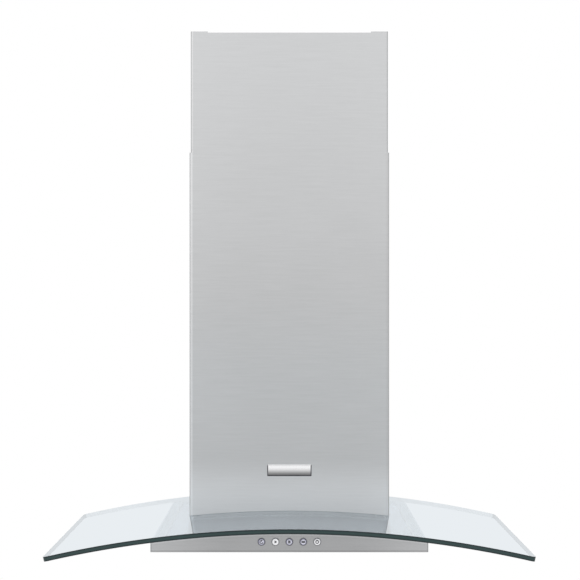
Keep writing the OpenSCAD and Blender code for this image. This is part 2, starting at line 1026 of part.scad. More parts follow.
module lower_flue() {
  color("silver")
    difference() {
      flue_sheet(flue_w, flue_d, [glass_z - 30, lower_top_z]);
      arc_solid(glass_top_r + flue_seat_gap, [-flue_d - 1, 1]);
      both_sides()
        clip_screw_places()
          rod_x(screw_hole, [-2, 1], 0, 0);
    }
}

module flue_clips() {
  x = [housing_w / 2, flue_w / 2 - flue_t];
  z = [clip_z - clip_h / 2, clip_z + clip_h / 2];
  t = 1.5;
  color("lightgray")
    both_sides()
      for (y = clip_ys())
        difference() {
          union() {
            block([x[0], x[0] + t], [y - clip_w / 2, y + clip_w / 2], z);
            block([x[1] - t, x[1]], [y - clip_w / 2, y + clip_w / 2], z);
            block(x, [y - clip_w / 2, y + clip_w / 2], [z[0], z[0] + t]);
          }
          rod_x(screw_r, [x[1] - t - 1, x[1] + 1], y, clip_z);
        }
}

// Nylon pads inside the top of the lower flue, which guide the upper flue
module flue_glides() {
  t = flue_gap - glide_clear;
  z = [lower_top_z - 45, lower_top_z - 5];
  side = flue_w / 2 - flue_t;
  front = -flue_d + flue_t;
  color("white")
    both_sides()
      union() {
        for (y = [-30, -flue_d / 2, -flue_d + 30])
          block([side - t, side], [y - 8, y + 8], z);
        block([flue_w / 4, flue_w / 4 + 16], [front, front + t], z);
      }
}

module upper_flue() {
  color("silver")
    difference() {
      flue_sheet(upper_flue_w, upper_flue_d, [upper_z, upper_top_z]);
      block(
        [-upper_flue_w / 2 + crown_w, upper_flue_w / 2 - crown_w],
        [-upper_flue_d - 1, 1],
        [upper_top_z - crown_h, upper_top_z + 1]
      );
      block(
        [-upper_flue_w, upper_flue_w],
        [-upper_flue_d + crown_w, 1],
        [upper_top_z - crown_h, upper_top_z + 1]
      );
      both_sides()
        flue_screw_place()
          rod_x(screw_hole, [-2, 1], 0, 0);
    }
}

flue_bracket_z = upper_top_z - 30;
flue_bracket_h = 30;
flue_bracket_t = 1.5;
flue_bracket_tab = 30;
flue_bracket_hole_x = 120;
flue_bracket_hole_r = 3;

module flue_screw_place() {
  translate([upper_flue_w / 2, -flue_bracket_tab / 2 - flue_bracket_t / 2, flue_bracket_z])
    children();
}

module flue_bracket() {
  side = upper_flue_w / 2 - flue_t;
  z = [flue_bracket_z - flue_bracket_h / 2, flue_bracket_z + flue_bracket_h / 2];
  color("lightgray")
    difference() {
      union() {
        block([-side, side], [-flue_bracket_t, 0], z);
        both_sides()
          block([side - flue_bracket_t, side], [-flue_bracket_tab, 0], z);
      }
      both_sides()
        rod_y(flue_bracket_hole_r, flue_bracket_hole_x, [-flue_bracket_t - 1, 1], flue_bracket_z);
      both_sides()
        flue_screw_place()
          rod_x(screw_r, [-5, 1], 0, 0);
    }
}

module flue_screws() {
  color("gray")
    both_sides()
      flue_screw_place()
        union() {
          rod_x(pan_head[0] - 0.2, [0, flue_gap - 0.4], 0, 0);
          rod_x(screw_r, [-6, 0.1], 0, 0);
        }
}

module badge_plate() {
  z = glass_top_z + badge_up;
  bevel = 1.2;
  color("gainsboro")
    translate([0, -flue_d, z])
      difference() {
        block([-badge[0] / 2, badge[0] / 2], [-badge[2], 0], [-badge[1] / 2, badge[1] / 2]);
        for (s = [-1, 1]) {
          translate([0, -badge[2], s * badge[1] / 2])
            rotate([45, 0, 0])
              cube([badge[0] + 2, bevel, bevel], center = true);
          translate([s * badge[0] / 2, -badge[2], 0])
            rotate([0, 0, 45])
              cube([bevel, bevel, badge[1] + 2], center = true);
        }
      }
}

// Buttons

function button_xs() = [
  for (i = [0 : button_count - 1]) (i - (button_count - 1) / 2) * button_pitch
];

module switch_box() {
  size = switch_box_size;
  y = -body_d + sheet_t;
  color("darkgray")
    difference() {
      block(
        [-size[0] / 2, size[0] / 2], [y, y + size[1]],
        [button_z - size[2] / 2, button_z + size[2] / 2]
      );
      for (x = button_xs()) {
        rod_y(button_r + 0.3, x, [y - 1, y + button_travel + 0.7], button_z);
        rod_y(bore_r, x, [y - 1, y + bore_l], button_z);
      }
    }
}

module button_bezels() {
  color("dimgray")
    for (x = button_xs())
      difference() {
        union() {
          rod_y(bezel_r, x, [-body_d - bezel_proud, -body_d], button_z);
          rod_y(
            bezel_in_r + bezel_sleeve_t, x, [-body_d - bezel_proud / 2, -body_d + sheet_t], button_z
          );
        }
        rod_y(bezel_in_r, x, [-body_d - bezel_proud - 1, -body_d + sheet_t + 1], button_z);
      }
}

// Cap with a shallow dome, and the stem that works the switch
module button(i, tint) {
  x = button_xs()[i];
  dome = 0.8;
  dome_r = (button_r * button_r + dome * dome) / (2 * dome);
  color(tint)
    union() {
      intersection() {
        rod_y(button_r, x, [cap_front, cap_back], button_z);
        translate([x, cap_front + dome_r, button_z])
          sphere(r = dome_r, $fn = 180);
      }
      rod_y(stem_r, x, [cap_back - 1, cap_back + stem_l], button_z);
    }
}

module button_power() {
  button(0, "lavender");
}

module button_low() {
  button(1, "white");
}

module button_medium() {
  button(2, "lavender");
}

module button_high() {
  button(3, "lavender");
}

module button_light() {
  button(4, "white");
}

module button_springs() {
  color("gray")
    for (x = button_xs())
      translate([x, cap_back + stem_l, button_z])
        spring(2.4, 0.35, bore_l - stem_l, 4);
}

// Lamps and wiring

module led_driver() {
  y = lamp_y - driver[1] / 2;
  color("white")
    union() {
      block([driver_x, driver_x + driver[0]], [y, y + driver[1]], [panel_top_z, panel_top_z + 2]);
      block(
        [driver_x + 5, driver_x + driver[0] - 5], [y + 1, y + driver[1] - 1],
        [panel_top_z, panel_top_z + driver[2]]
      );
    }
}

module lamp_bezels() {
  color("lightgray")
    both_sides()
      difference() {
        union() {
          rod_z(lamp_bezel_r, lamp_x, lamp_y, [body_z - bezel_drop, body_z]);
          rod_z(lamp_body_r + 0.8, lamp_x, lamp_y, [body_z - 0.5, panel_top_z + 2]);
        }
        rod_z(lamp_lens_r, lamp_x, lamp_y, [body_z - bezel_drop - 1, panel_top_z + 3]);
      }
}

module lamp_lenses() {
  color([0.95, 0.95, 0.9, 0.7])
    both_sides()
      rod_z(lamp_lens_r, lamp_x, lamp_y, [body_z - 1, body_z - 1 + lens_t]);
}

module lamp_bodies() {
  z = panel_top_z + 2;
  color("gray")
    both_sides()
      difference() {
        rod_z(lamp_body_r, lamp_x, lamp_y, [z, z + lamp_body_h]);
        rod_z(lamp_lens_r - 2, lamp_x, lamp_y, [z - 1, z + lamp_body_h - 3]);
      }
}

module lamp_leads() {
  lamp_edge = lamp_x - lamp_body_r;
  color("dimgray")
    union() {
      rod_x(lead_r, [driver_x + driver[0] - 5, lamp_edge], lamp_y, lead_z);
      rod_x(lead_r, [-lamp_edge, driver_x + 5], lamp_y, lead_z);
    }
}

module junction_box() {
  z = housing_top_z;
  color("white")
    difference() {
      block(box_x, box_y, [z, z + box_h]);
      block(
        [box_x[0] + box_t, box_x[1] - box_t], [box_y[0] + box_t, box_y[1] - box_t],
        [z + box_t, z + box_h + 1]
      );
      rod_z(loom_r + 1, loom_x, loom_end_y, [z - 1, z + box_t + 1]);
    }
}

module junction_box_lid() {
  z = housing_top_z + box_h;
  color("white")
    difference() {
      block(box_x, box_y, [z, z + box_t]);
      rod_z(gland_bore_r + 2, (box_x[0] + box_x[1]) / 2, gland_y, [z - 1, z + box_t + 1]);
    }
}

module cable_gland() {
  z = housing_top_z + box_h;
  x = (box_x[0] + box_x[1]) / 2;
  color("dimgray")
    difference() {
      union() {
        rod_z(gland_bore_r + 2, x, gland_y, [z - 4, z + box_t + 2]);
        rod_z(gland_r, x, gland_y, [z + box_t, z + box_t + 5]);
        rod_z(gland_r - 2, x, gland_y, [z + box_t, z + box_t + gland_h]);
        translate([x, gland_y, z - 4])
          cylinder(h = 4, r = gland_r - 1, $fn = 6);
      }
      rod_z(gland_bore_r, x, gland_y, [z - 6, z + box_t + gland_h + 1]);
    }
}

// Mains loom from the switch box, under the body top and up the housing's corner
loom_z = arc_z + sqrt(pow(body_top_r - sheet_t, 2) - loom_x * loom_x) - loom_r - loom_gap;
loom_route = [
  [switch_box_size[0] / 2, -body_d + 15, button_z],
  [90, -body_d + 15, button_z],
  [128, -body_d + 42, loom_z],
  [loom_x, -body_d + 180, loom_z],
  [loom_x, housing_front + flange_w + 18, loom_z],
  [loom_x, loom_end_y, fan_z - 100],
  [loom_x, loom_end_y, housing_top_z + 12]
];

module wiring_loom() {
  color("dimgray")
    tube(rounded(loom_route, 12), loom_r, 8);
}

// Filters

module filter_frame() {
  z = [body_z, body_z + filter_t];
  inner_x = [filter_x0 + filter_bar, filter_x1 - filter_bar];
  inner_y = [filter_y0 + filter_bar, filter_y1 - filter_bar];
  difference() {
    union() {
      difference() {
        block([filter_x0, filter_x1], [filter_y0, filter_y1], z);
        block(inner_x, inner_y, [z[0] - 1, z[1] + 1]);
      }
      block(
        [filter_mid - pocket_w / 2, filter_mid + pocket_w / 2],
        [filter_y0 + filter_bar / 2, filter_y0 + filter_bar + pocket_d],
        z
      );
      rod_x(pivot_r, [filter_x0 - pivot_l, filter_x0 + 1], pivot_y, pivot_z);
      rod_x(pivot_r, [filter_x1 - 1, filter_x1 + pivot_l], pivot_y, pivot_z);
    }
    block(
      [filter_mid - slider_w / 2 - slider_play, filter_mid + slider_w / 2 + slider_play],
      cavity_y,
      [slider_z[0] - slider_play, slider_z[1] + slider_play]
    );
    block(
      [filter_mid - slider_w / 2 + 5, filter_mid + slider_w / 2 - 5],
      [cavity_y[0] + 1, cavity_y[1] - 1],
      [body_z - 1, slider_z[0]]
    );
    block(
      [filter_mid - tongue[0] / 2 - slider_play, filter_mid + tongue[0] / 2 + slider_play],
      [filter_y0 - 1, cavity_y[0] + 1],
      [tongue_z - slider_play, tongue_z + tongue[1] + slider_play]
    );
  }
}

// Two nets, one above the other, that fill the frame
module filter_net() {
  x = [filter_x0 + filter_bar, filter_x1 - filter_bar];
  y = [filter_y0 + filter_bar, filter_y1 - filter_bar];
  cell = [(x[1] - x[0] - strand_w) / net_cells[0], (y[1] - y[0] - strand_w) / net_cells[1]];
  pocket_x = [filter_mid - pocket_w / 2, filter_mid + pocket_w / 2];
  pocket_y = y[0] + pocket_d;
  for (level = net_levels)
    translate([0, 0, body_z + level])
      linear_extrude(net_t)
        difference() {
          translate([x[0], y[0]])
            square([x[1] - x[0], y[1] - y[0]]);
          translate([pocket_x[0], y[0] - 1])
            square([pocket_w, pocket_d + 1]);
          for (i = [0 : net_cells[0] - 1], j = [0 : net_cells[1] - 1]) {
            left = x[0] + strand_w + i * cell[0];
            low = y[0] + strand_w + j * cell[1];
            size = [cell[0] - strand_w, cell[1] - strand_w];
            in_pocket = left + size[0] > pocket_x[0] - 1 && left < pocket_x[1] + 1
              && low < pocket_y + 1;
            if (!in_pocket)
              translate([left, low])
                square(size);
          }
        }
}

module latch() {
  z = slider_z;
  y = cavity_y[0] + slider_play;
  difference() {
    union() {
      block([filter_mid - slider_w / 2, filter_mid + slider_w / 2], [y, y + slider_d], z);
      block(
        [filter_mid - tongue[0] / 2, filter_mid + tongue[0] / 2],
        [filter_y0 - filter_gap + 0.3, y + 1],
        [tongue_z, tongue_z + tongue[1]]
      );
    }
    block(
      [filter_mid - finger[0] / 2, filter_mid + finger[0] / 2],
      [y + 2.5, y + 2.5 + finger[1]],
      [z[0] - 1, z[0] + finger[2]]
    );
  }
}

module latch_spring() {
  y = cavity_y[0] + slider_play + slider_d;
  translate([filter_mid, y, (slider_z[0] + slider_z[1]) / 2])
    spring(latch_spring_r, latch_wire_r, cavity_y[1] - y, 4);
}

module filter_left_frame() {
  color("lightgray")
    mirror([1, 0, 0])
      filter_frame();
}

module filter_right_frame() {
  color("lightgray")
    filter_frame();
}

module filter_left_mesh() {
  color("silver")
    mirror([1, 0, 0])
      filter_net();
}

module filter_right_mesh() {
  color("silver")
    filter_net();
}

module latch_left() {
  color("dimgray")
    mirror([1, 0, 0])
      latch();
}

module latch_right() {
  color("dimgray")
    latch();
}

module latch_spring_left() {
  color("gray")
    mirror([1, 0, 0])
      latch_spring();
}

module latch_spring_right() {
  color("gray")
    latch_spring();
}

// Ears on the bottom panel that carry the filter pins
module filter_pivots() {
  starts = [filter_x0 - ear_out - ear_t, filter_x1 + ear_out];
  color("lightgray")
    both_sides()
      for (x = starts)
        difference() {
          block(
            [x, x + ear_t], [pivot_y - ear_w / 2, pivot_y + ear_w / 2],
            [panel_top_z, body_z + filter_t]
          );
          rod_x(pivot_r + run_clear, [x - 1, x + ear_t + 1], pivot_y, pivot_z);
        }
}

// All the identical small screws
module sheet_screws() {
  color("gray")
    union() {
      panel_screw_places()
        union() {
          rod_z(panel_screw[0], 0, 0, [body_z, panel_top_z]);
          rod_z(screw_r, 0, 0, [body_z + sheet_t / 2, body_z + panel_screw[1]]);
        }
      flange_screw_places()
        pan_screw(sheet_t);
      collar_screw_places()
        translate([0, 0, housing_top_z])
          pan_screw(collar_t);
      both_sides()
        clip_screw_places()
          rotate([0, 90, 0])
            pan_screw(0);
      arm_screw_places()
        translate([-arm_t, 0, 0])
          rotate([0, -90, 0])
            pan_screw(0);
    }
}

// Pan head on a surface at the given height, with its shank below
module pan_screw(height) {
  translate([0, 0, height])
    cylinder(h = pan_head[1], r = pan_head[0]);
  translate([0, 0, height - 7])
    cylinder(h = 7 + eps, r = screw_r);
}

canopy_body();
bottom_panel();
glass_canopy();
glass_gasket();
glass_grommets();
glass_bolts();
motor_housing();
wall_bracket();
outlet_collar();
damper_pin();
damper_flap_front();
damper_flap_rear();
scroll_left();
scroll_right();
impeller();
motor_shaft();
rotor_core();
stator_core();
stator_windings();
motor_casing();
motor_bearings();
motor_arms();
capacitor();
lower_flue();
flue_clips();
flue_glides();
upper_flue();
flue_bracket();
flue_screws();
badge_plate();
switch_box();
button_bezels();
button_power();
button_low();
button_medium();
button_high();
button_light();
button_springs();
led_driver();
lamp_bezels();
lamp_lenses();
lamp_bodies();
lamp_leads();
filter_left_frame();
filter_left_mesh();
filter_right_frame();
filter_right_mesh();
filter_pivots();
latch_left();
latch_right();
latch_spring_left();
latch_spring_right();
sheet_screws();
junction_box();
junction_box_lid();
cable_gland();
wiring_loom();
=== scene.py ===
"""Wall mount range hood: detailed pieces, finishes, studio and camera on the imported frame."""

import json
import logging
import math
from abc import ABC, abstractmethod
from collections.abc import Callable, Iterator, Sequence
from contextlib import contextmanager
from dataclasses import dataclass
from enum import Enum
from typing import Any, Optional, Union

import bmesh
import bpy
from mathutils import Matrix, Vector

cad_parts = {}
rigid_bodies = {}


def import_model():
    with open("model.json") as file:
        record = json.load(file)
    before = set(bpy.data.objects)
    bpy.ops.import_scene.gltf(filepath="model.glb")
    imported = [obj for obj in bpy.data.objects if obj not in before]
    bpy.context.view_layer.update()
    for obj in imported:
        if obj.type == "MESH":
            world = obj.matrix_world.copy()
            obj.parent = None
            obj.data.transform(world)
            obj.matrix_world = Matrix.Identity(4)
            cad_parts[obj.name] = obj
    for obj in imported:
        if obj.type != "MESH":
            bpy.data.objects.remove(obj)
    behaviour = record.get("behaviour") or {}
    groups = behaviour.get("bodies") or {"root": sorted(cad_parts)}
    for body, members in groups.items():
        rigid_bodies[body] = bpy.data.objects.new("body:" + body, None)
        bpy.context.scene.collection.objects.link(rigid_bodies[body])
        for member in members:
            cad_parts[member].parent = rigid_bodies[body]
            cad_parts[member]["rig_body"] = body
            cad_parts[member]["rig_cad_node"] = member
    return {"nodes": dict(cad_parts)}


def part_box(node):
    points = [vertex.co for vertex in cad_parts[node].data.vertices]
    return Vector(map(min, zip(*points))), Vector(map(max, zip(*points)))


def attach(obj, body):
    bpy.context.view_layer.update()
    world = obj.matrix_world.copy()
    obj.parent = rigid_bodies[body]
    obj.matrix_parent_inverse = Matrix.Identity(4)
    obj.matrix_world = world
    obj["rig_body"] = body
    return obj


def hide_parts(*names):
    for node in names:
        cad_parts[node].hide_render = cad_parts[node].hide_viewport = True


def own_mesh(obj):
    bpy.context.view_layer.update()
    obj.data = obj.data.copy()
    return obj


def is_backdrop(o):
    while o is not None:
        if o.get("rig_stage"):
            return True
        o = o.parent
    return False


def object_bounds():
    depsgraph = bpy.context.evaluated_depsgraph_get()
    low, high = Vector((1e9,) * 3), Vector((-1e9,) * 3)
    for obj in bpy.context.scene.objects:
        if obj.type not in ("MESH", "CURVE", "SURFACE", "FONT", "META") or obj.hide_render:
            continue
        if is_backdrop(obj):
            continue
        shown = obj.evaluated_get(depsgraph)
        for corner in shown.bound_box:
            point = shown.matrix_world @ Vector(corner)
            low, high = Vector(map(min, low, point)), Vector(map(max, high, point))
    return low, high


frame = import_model()
CAD_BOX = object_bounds()
log = logging.getLogger("range_hood")

Point = Sequence[float]
Colour = tuple[float, float, float]
Value = Union["Wire", float, Sequence[float]]
FaceTest = Callable[[Vector, Vector], bool]
EdgeTest = Callable[[Vector, Vector], bool]
PURE_WHITE = (1.0, 1.0, 1.0, 1.0)


# Shader writing


class Wire:
    """A node's output, on which shader maths is written as plain expressions."""

    def __init__(self, graph: "Graph", socket: bpy.types.NodeSocket) -> None:
        """Holds the socket and the graph that it is in.

        Args:
            graph: The graph that new nodes are added to.
            socket: The output socket.
        """
        self.graph = graph
        self.socket = socket

    def _with(self, operation: str, *values: Value) -> "Wire":
        """Adds one Math node.

        Args:
            operation: The Math node's operation.
            values: Wires or numbers for its sockets, in order.

        Returns:
            The node's output.
        """
        return self.graph.node("ShaderNodeMath", {"operation": operation}, dict(enumerate(values)))

    def __add__(self, other: Value) -> "Wire":
        """Sum."""
        return self._with("ADD", self, other)

    def __sub__(self, other: Value) -> "Wire":
        """Difference."""
        return self._with("SUBTRACT", self, other)

    def __rsub__(self, other: Value) -> "Wire":
        """Difference, with the number first."""
        return self._with("SUBTRACT", other, self)

    def __mul__(self, other: Value) -> "Wire":
        """Product."""
        return self._with("MULTIPLY", self, other)

    def __truediv__(self, other: Value) -> "Wire":
        """Quotient."""
        return self._with("DIVIDE", self, other)

    def __gt__(self, other: Value) -> "Wire":
        """1 where this is greater, and 0 elsewhere."""
        return self._with("GREATER_THAN", self, other)

    def __abs__(self) -> "Wire":
        """Size without its sign."""
        return self._with("ABSOLUTE", self)

    __radd__ = __add__
    __rmul__ = __mul__

    def sine(self) -> "Wire":
        """Sine, of radians."""
        return self._with("SINE", self)

    def root(self) -> "Wire":
        """Square root."""
        return self._with("SQRT", self)

    def within(self, low: float, high: float) -> "Wire":
        """Runs smoothly from 0 at low to 1 at high.

        Args:
            low: Where the result is 0.
            high: Where the result is 1.

        Returns:
            The smoothed value.
        """
        settings = {"interpolation_type": "SMOOTHSTEP"}
        return self.graph.node("ShaderNodeMapRange", settings, {0: self, 1: low, 2: high})


class Graph:
    """A material's or world's node graph while it is being written."""

    def __init__(self, owner: Union[bpy.types.Material, bpy.types.World]) -> None:
        """Empties the owner's graph.

        Args:
            owner: The material or world that the nodes belong to.
        """
        owner.use_nodes = True
        self.tree = owner.node_tree
        self.tree.nodes.clear()

    def node(
        self,
        kind: str,
        settings: Optional[dict[str, Any]] = None,
        inputs: Optional[dict[Union[int, str], Value]] = None,
        output: int = 0,
    ) -> Wire:
        """Adds a node.

        Args:
            kind: The node's type.
            settings: Its own settings, set before its sockets are.
            inputs: A wire or a value for each socket, by name or number.
            output: The number of the output to hand back.

        Returns:
            The chosen output, or the node's only one.
        """
        made = self.tree.nodes.new(kind)
        for key, value in (settings or {}).items():
            setattr(made, key, value)
        for key, value in (inputs or {}).items():
            if isinstance(value, Wire):
                self.tree.links.new(value.socket, made.inputs[key])
            else:
                made.inputs[key].default_value = value
        return Wire(self, made.outputs[output]) if len(made.outputs) else Wire(self, None)

    def place(self) -> Wire:
        """Object coordinates."""
        return self.node("ShaderNodeTexCoord", output=3)

    def facing(self) -> Wire:
        """The direction that the surface faces."""
        return self.node("ShaderNodeTexCoord", output=1)

    def behind(self) -> Wire:
        """1 where a face is seen from behind."""
        return self.node("ShaderNodeNewGeometry", output=6)

    def part(self, vector: Wire, axis: int) -> Wire:
        """One of a vector's three numbers."""
        return self.node("ShaderNodeSeparateXYZ", inputs={0: vector}, output=axis)

    def stretched(self, vector: Wire, by: Value) -> Wire:
        """A vector multiplied by another, number by number."""
        return self.node("ShaderNodeVectorMath", {"operation": "MULTIPLY"}, {0: vector, 1: by})

    def shaded(self, colour: Value, by: Wire) -> Wire:
        """A colour made lighter or darker by a factor."""
        return self.node("ShaderNodeVectorMath", {"operation": "SCALE"}, {0: colour, "Scale": by})

    def noise(self, vector: Wire, scale: float, detail: float = 2.0) -> Wire:
        """Noise from 0 to 1, about its middle."""
        return self.node(
            "ShaderNodeTexNoise", inputs={"Vector": vector, "Scale": scale, "Detail": detail}
        )

    def blend(self, factor: Wire, first: Value, second: Value) -> Wire:
        """A colour between two others.

        Args:
            factor: 0 for the first colour and 1 for the second.
            first: The colour at 0, with four numbers.
            second: The colour at 1, with four numbers.

        Returns:
            The colour.
        """
        inputs = {0: factor, 6: first, 7: second}
        return self.node("ShaderNodeMix", {"data_type": "RGBA"}, inputs, 2)

    def bump(self, height: Wire, strength: float, distance: float) -> Wire:
        """A normal that rises and falls with the height.

        Args:
            height: The height, from 0 to 1.
            strength: How much of it shows.
            distance: What a height of 1 stands for, in metres.

        Returns:
            The normal.
        """
        return self.node(
            "ShaderNodeBump", inputs={"Strength": strength, "Distance": distance, "Height": height}
        )

    def surface(self, **sockets: Value) -> None:
        """Ends the graph in a Principled shader.

        Args:
            sockets: Its sockets by name, with _ for each space.
        """
        named = {name.replace("_", " "): value for name, value in sockets.items()}
        self.end(self.node("ShaderNodeBsdfPrincipled", inputs=named))

    def end(self, shader: Wire) -> None:
        """Ends the graph in the given shader."""
        self.node("ShaderNodeOutputMaterial", inputs={0: shader})


# Finishes


@dataclass(frozen=True)
class Finish(ABC):
    """What a surface is made of, and how it is finished."""

    name: str

    def material(self) -> bpy.types.Material:
        """The finish as a material, which is made once.

        Returns:
            The material.
        """
        made = bpy.data.materials.get("finish_" + self.name)
        if made is None:
            made = bpy.data.materials.new("finish_" + self.name)
            self.paint(Graph(made))
        return made

    @abstractmethod
    def paint(self, graph: Graph) -> None:
        """Writes the finish's nodes."""


@dataclass(frozen=True)
class BrushedSteel(Finish):
    """Stainless sheet with fine level brush lines, and a satin shine."""

    tone: float = 0.6
    roughness: float = 0.36
    line: float = 0.2

    def paint(self, graph: Graph) -> None:
        """Brush lines across upright faces, and along the width on flat ones.

        Args:
            graph: The material's graph.
        """
        place = graph.place()
        normal = graph.facing()
        flat = abs(graph.part(normal, 2)) > 0.7
        level, lying = (14.0, 14.0, 330.0, 1.0), (14.0, 330.0, 14.0, 1.0)
        strokes = graph.stretched(place, graph.blend(flat, level, lying))
        coarse = graph.noise(strokes, 1.0, 3.0)
        fine = graph.noise(strokes, 5.0, 2.0)
        cloud = graph.noise(place, 7.0, 3.0)
        grain = coarse * 0.65 + fine * 0.35 - 0.5
        # painted_light() scales the base colour with painted light and shade.
        shade = grain * self.line + (cloud - 0.5) * 0.035 + self.painted_light(graph, place)
        graph.surface(
            Base_Color=graph.shaded(self.hue(graph, place), shade),
            Metallic=self.metal(graph, place),
            Roughness=self.roughness + grain * 0.16 + (cloud - 0.5) * 0.07,
            Normal=graph.bump(grain + 0.5, 0.12, 0.0001),
        )

    def tinted(self, red: float, blue: float) -> tuple[float, float, float, float]:
        """The steel's tone, with a little more or less red and blue."""
        return (self.tone * red, self.tone, self.tone * blue, 1.0)

    def hue(self, graph: Graph, place: Wire) -> Value:
        """The steel's colour."""
        return self.tinted(0.99, 1.015)[:3]

    def metal(self, graph: Graph, place: Wire) -> Value:
        """How metallic the steel is from place to place."""
        return 1.0

    def painted_light(self, graph: Graph, place: Wire) -> Value:
        """A factor of painted light and shade on the steel's tone, about 1; none here."""
        return 1.0


@dataclass(frozen=True)
class FlueSteel(BrushedSteel):
    """Brushed steel with painted light and shade: painted shade in the lower half, a painted lift
    just above the glass, where it is also hazier, and a painted cool tint of reflected light lower
    down.

    Attributes:
        glass: The height of the glass's crest, in metres.
        half: Half of the flue's width, in metres.
        cool: The heights between which its painted cool tint of reflected light turns neutral.
        dim: The heights between which its painted shade gives way to painted light higher up.
        foot: Where the foot's haze and painted lift start and end to fade, above the glass.
        joint: The heights, from the glass's crest, over which the painted lift grows a little
            stronger.
        haze: How much less metallic the foot is.
    """

    glass: float = -0.262
    half: float = 0.1735
    cool: tuple[float, float] = (-0.06, 0.16)
    dim: tuple[float, float] = (0.05, 0.3)
    foot: tuple[float, float] = (0.02, 0.1)
    joint: tuple[float, float] = (-0.013, 0.027)
    haze: float = 0.7

    def _above(self, height: Wire) -> Wire:
        """Runs from 0 at the foot to 1 above it."""
        return height.within(self.glass + self.foot[0], self.glass + self.foot[1])

    def hue(self, graph: Graph, place: Wire) -> Value:
        """Neutral at the top, and a painted cooler tint of reflected light lower down."""
        rise = graph.part(place, 2).within(*self.cool)
        return graph.blend(rise, self.tinted(0.972, 1.022), self.tinted(0.99, 1.012))

    def metal(self, graph: Graph, place: Wire) -> Value:
        """Hazier just above the glass."""
        return (1.0 - self.haze) + self._above(graph.part(place, 2)) * self.haze

    def painted_light(self, graph: Graph, place: Wire) -> Value:
        """Painted shade in the lower half, a painted lift at the foot, a painted highlight on the
        left front fold and painted shade on the right one.

        Args:
            graph: The material's graph.
            place: Object coordinates.

        Returns:
            The factor on the steel's tone.
        """
        normal = graph.facing()
        front = abs(graph.part(normal, 1)) > 0.5
        across = graph.part(place, 0)
        left = 1.0 - across.within(0.002 - self.half, 0.0045 - self.half)
        right = across.within(self.half - 0.004, self.half - 0.002)
        height = graph.part(place, 2)
        low, high = (self.glass + rise for rise in self.joint)
        # A painted lift of light just above the glass, a little stronger above its crest.
        most = height.within(low, high) * 0.02 + 0.365
        lift = (1.0 - self._above(height)) * most
        # Painted highlight along the left front fold, painted shade along the right one.
        painted_fold_light = front * (left * 0.21 - right * 0.06)
        # Painted shade low down gives way to painted light higher up.
        return 0.965 + lift + height.within(*self.dim) * 0.035 + painted_fold_light


@dataclass(frozen=True)
class FasciaSteel(BrushedSteel):
    """Brushed steel with painted light towards both ends, and a painted highlight along the fold
    under the glass.
    """

    half: float = 0.2265
    fold_r: float = 1.7685
    arc_z: float = -2.043

    def painted_light(self, graph: Graph, place: Wire) -> Value:
        """A slow painted rise of light over the outer half, and a thin painted highlight along the
        top.

        Args:
            graph: The material's graph.
            place: Object coordinates.

        Returns:
            The factor on the steel's tone.
        """
        across, up = graph.part(place, 0), graph.part(place, 2) - self.arc_z
        reach = (across * across + up * up).root()
        # line: a painted highlight along the fold under the glass.
        line = reach.within(self.fold_r - 0.0008, self.fold_r + 0.0004)
        # Painted light rising towards both ends, plus the painted highlight line.
        return 1.0 + abs(across).within(self.half * 0.4, self.half * 1.12) * 0.25 + line * 0.2


@dataclass(frozen=True)
class DeckSteel(BrushedSteel):
    """Brushed steel under the glass, with painted shade in front of the chimney and painted light
    beside it.
    """

    half: float = 0.1755
    front: float = -0.285
    taper: float = 0.049

    def painted_light(self, graph: Graph, place: Wire) -> Value:
        """A soft step from painted shade to painted light along the line of the chimney's sides.

        Args:
            graph: The material's graph.
            place: Object coordinates.

        Returns:
            The factor on the steel's tone.
        """
        depth = graph.part(place, 1) - self.front
        beside = abs(graph.part(place, 0)) - depth * self.taper - self.half
        return 0.5 + beside.within(-0.003, 0.003) * 0.72


@dataclass(frozen=True)
class Galvanised(Finish):
    """Zinc coated sheet with its spangles."""

    tone: float = 0.5
    spangle: float = 0.012

    def paint(self, graph: Graph) -> None:
        """Each spangle has its own shade and shine.

        Args:
            graph: The material's graph.
        """
        place = graph.place()
        wander = graph.noise(place, 60.0, 3.0)
        spread = graph.node(
            "ShaderNodeTexVoronoi",
            inputs={"Vector": place, "Scale": 1.0 / self.spangle, "Randomness": 1.0},
            output=1,
        )
        leaf = graph.part(spread, 0)
        shade = 0.9 + leaf * 0.16 + (wander - 0.5) * 0.12
        graph.surface(
            Base_Color=graph.shaded((self.tone * 0.98, self.tone, self.tone * 1.02), shade),
            Metallic=1.0,
            Roughness=0.34 + leaf * 0.16 + (wander - 0.5) * 0.1,
            Normal=graph.bump(wander, 0.15, 0.0002),
        )


@dataclass(frozen=True)
class PlainMetal(Finish):
    """Turned, drawn, ground or cast metal."""

    colour: Colour = (0.6, 0.6, 0.61)
    roughness: float = 0.3
    grain: float = 500.0
    relief: float = 0.1

    def paint(self, graph: Graph) -> None:
        """A fine grain over slow stains.

        Args:
            graph: The material's graph.
        """
        place = graph.place()
        grain = graph.noise(place, self.grain, 3.0) - 0.5
        stain = graph.noise(place, 35.0, 3.0) - 0.5
        graph.surface(
            Base_Color=graph.shaded(self.colour, 1.0 + grain * 0.14 + stain * 0.14),
            Metallic=1.0,
            Roughness=self.roughness + grain * 0.1 + stain * 0.1,
            Normal=graph.bump(grain + 0.5, self.relief, 0.0002),
        )


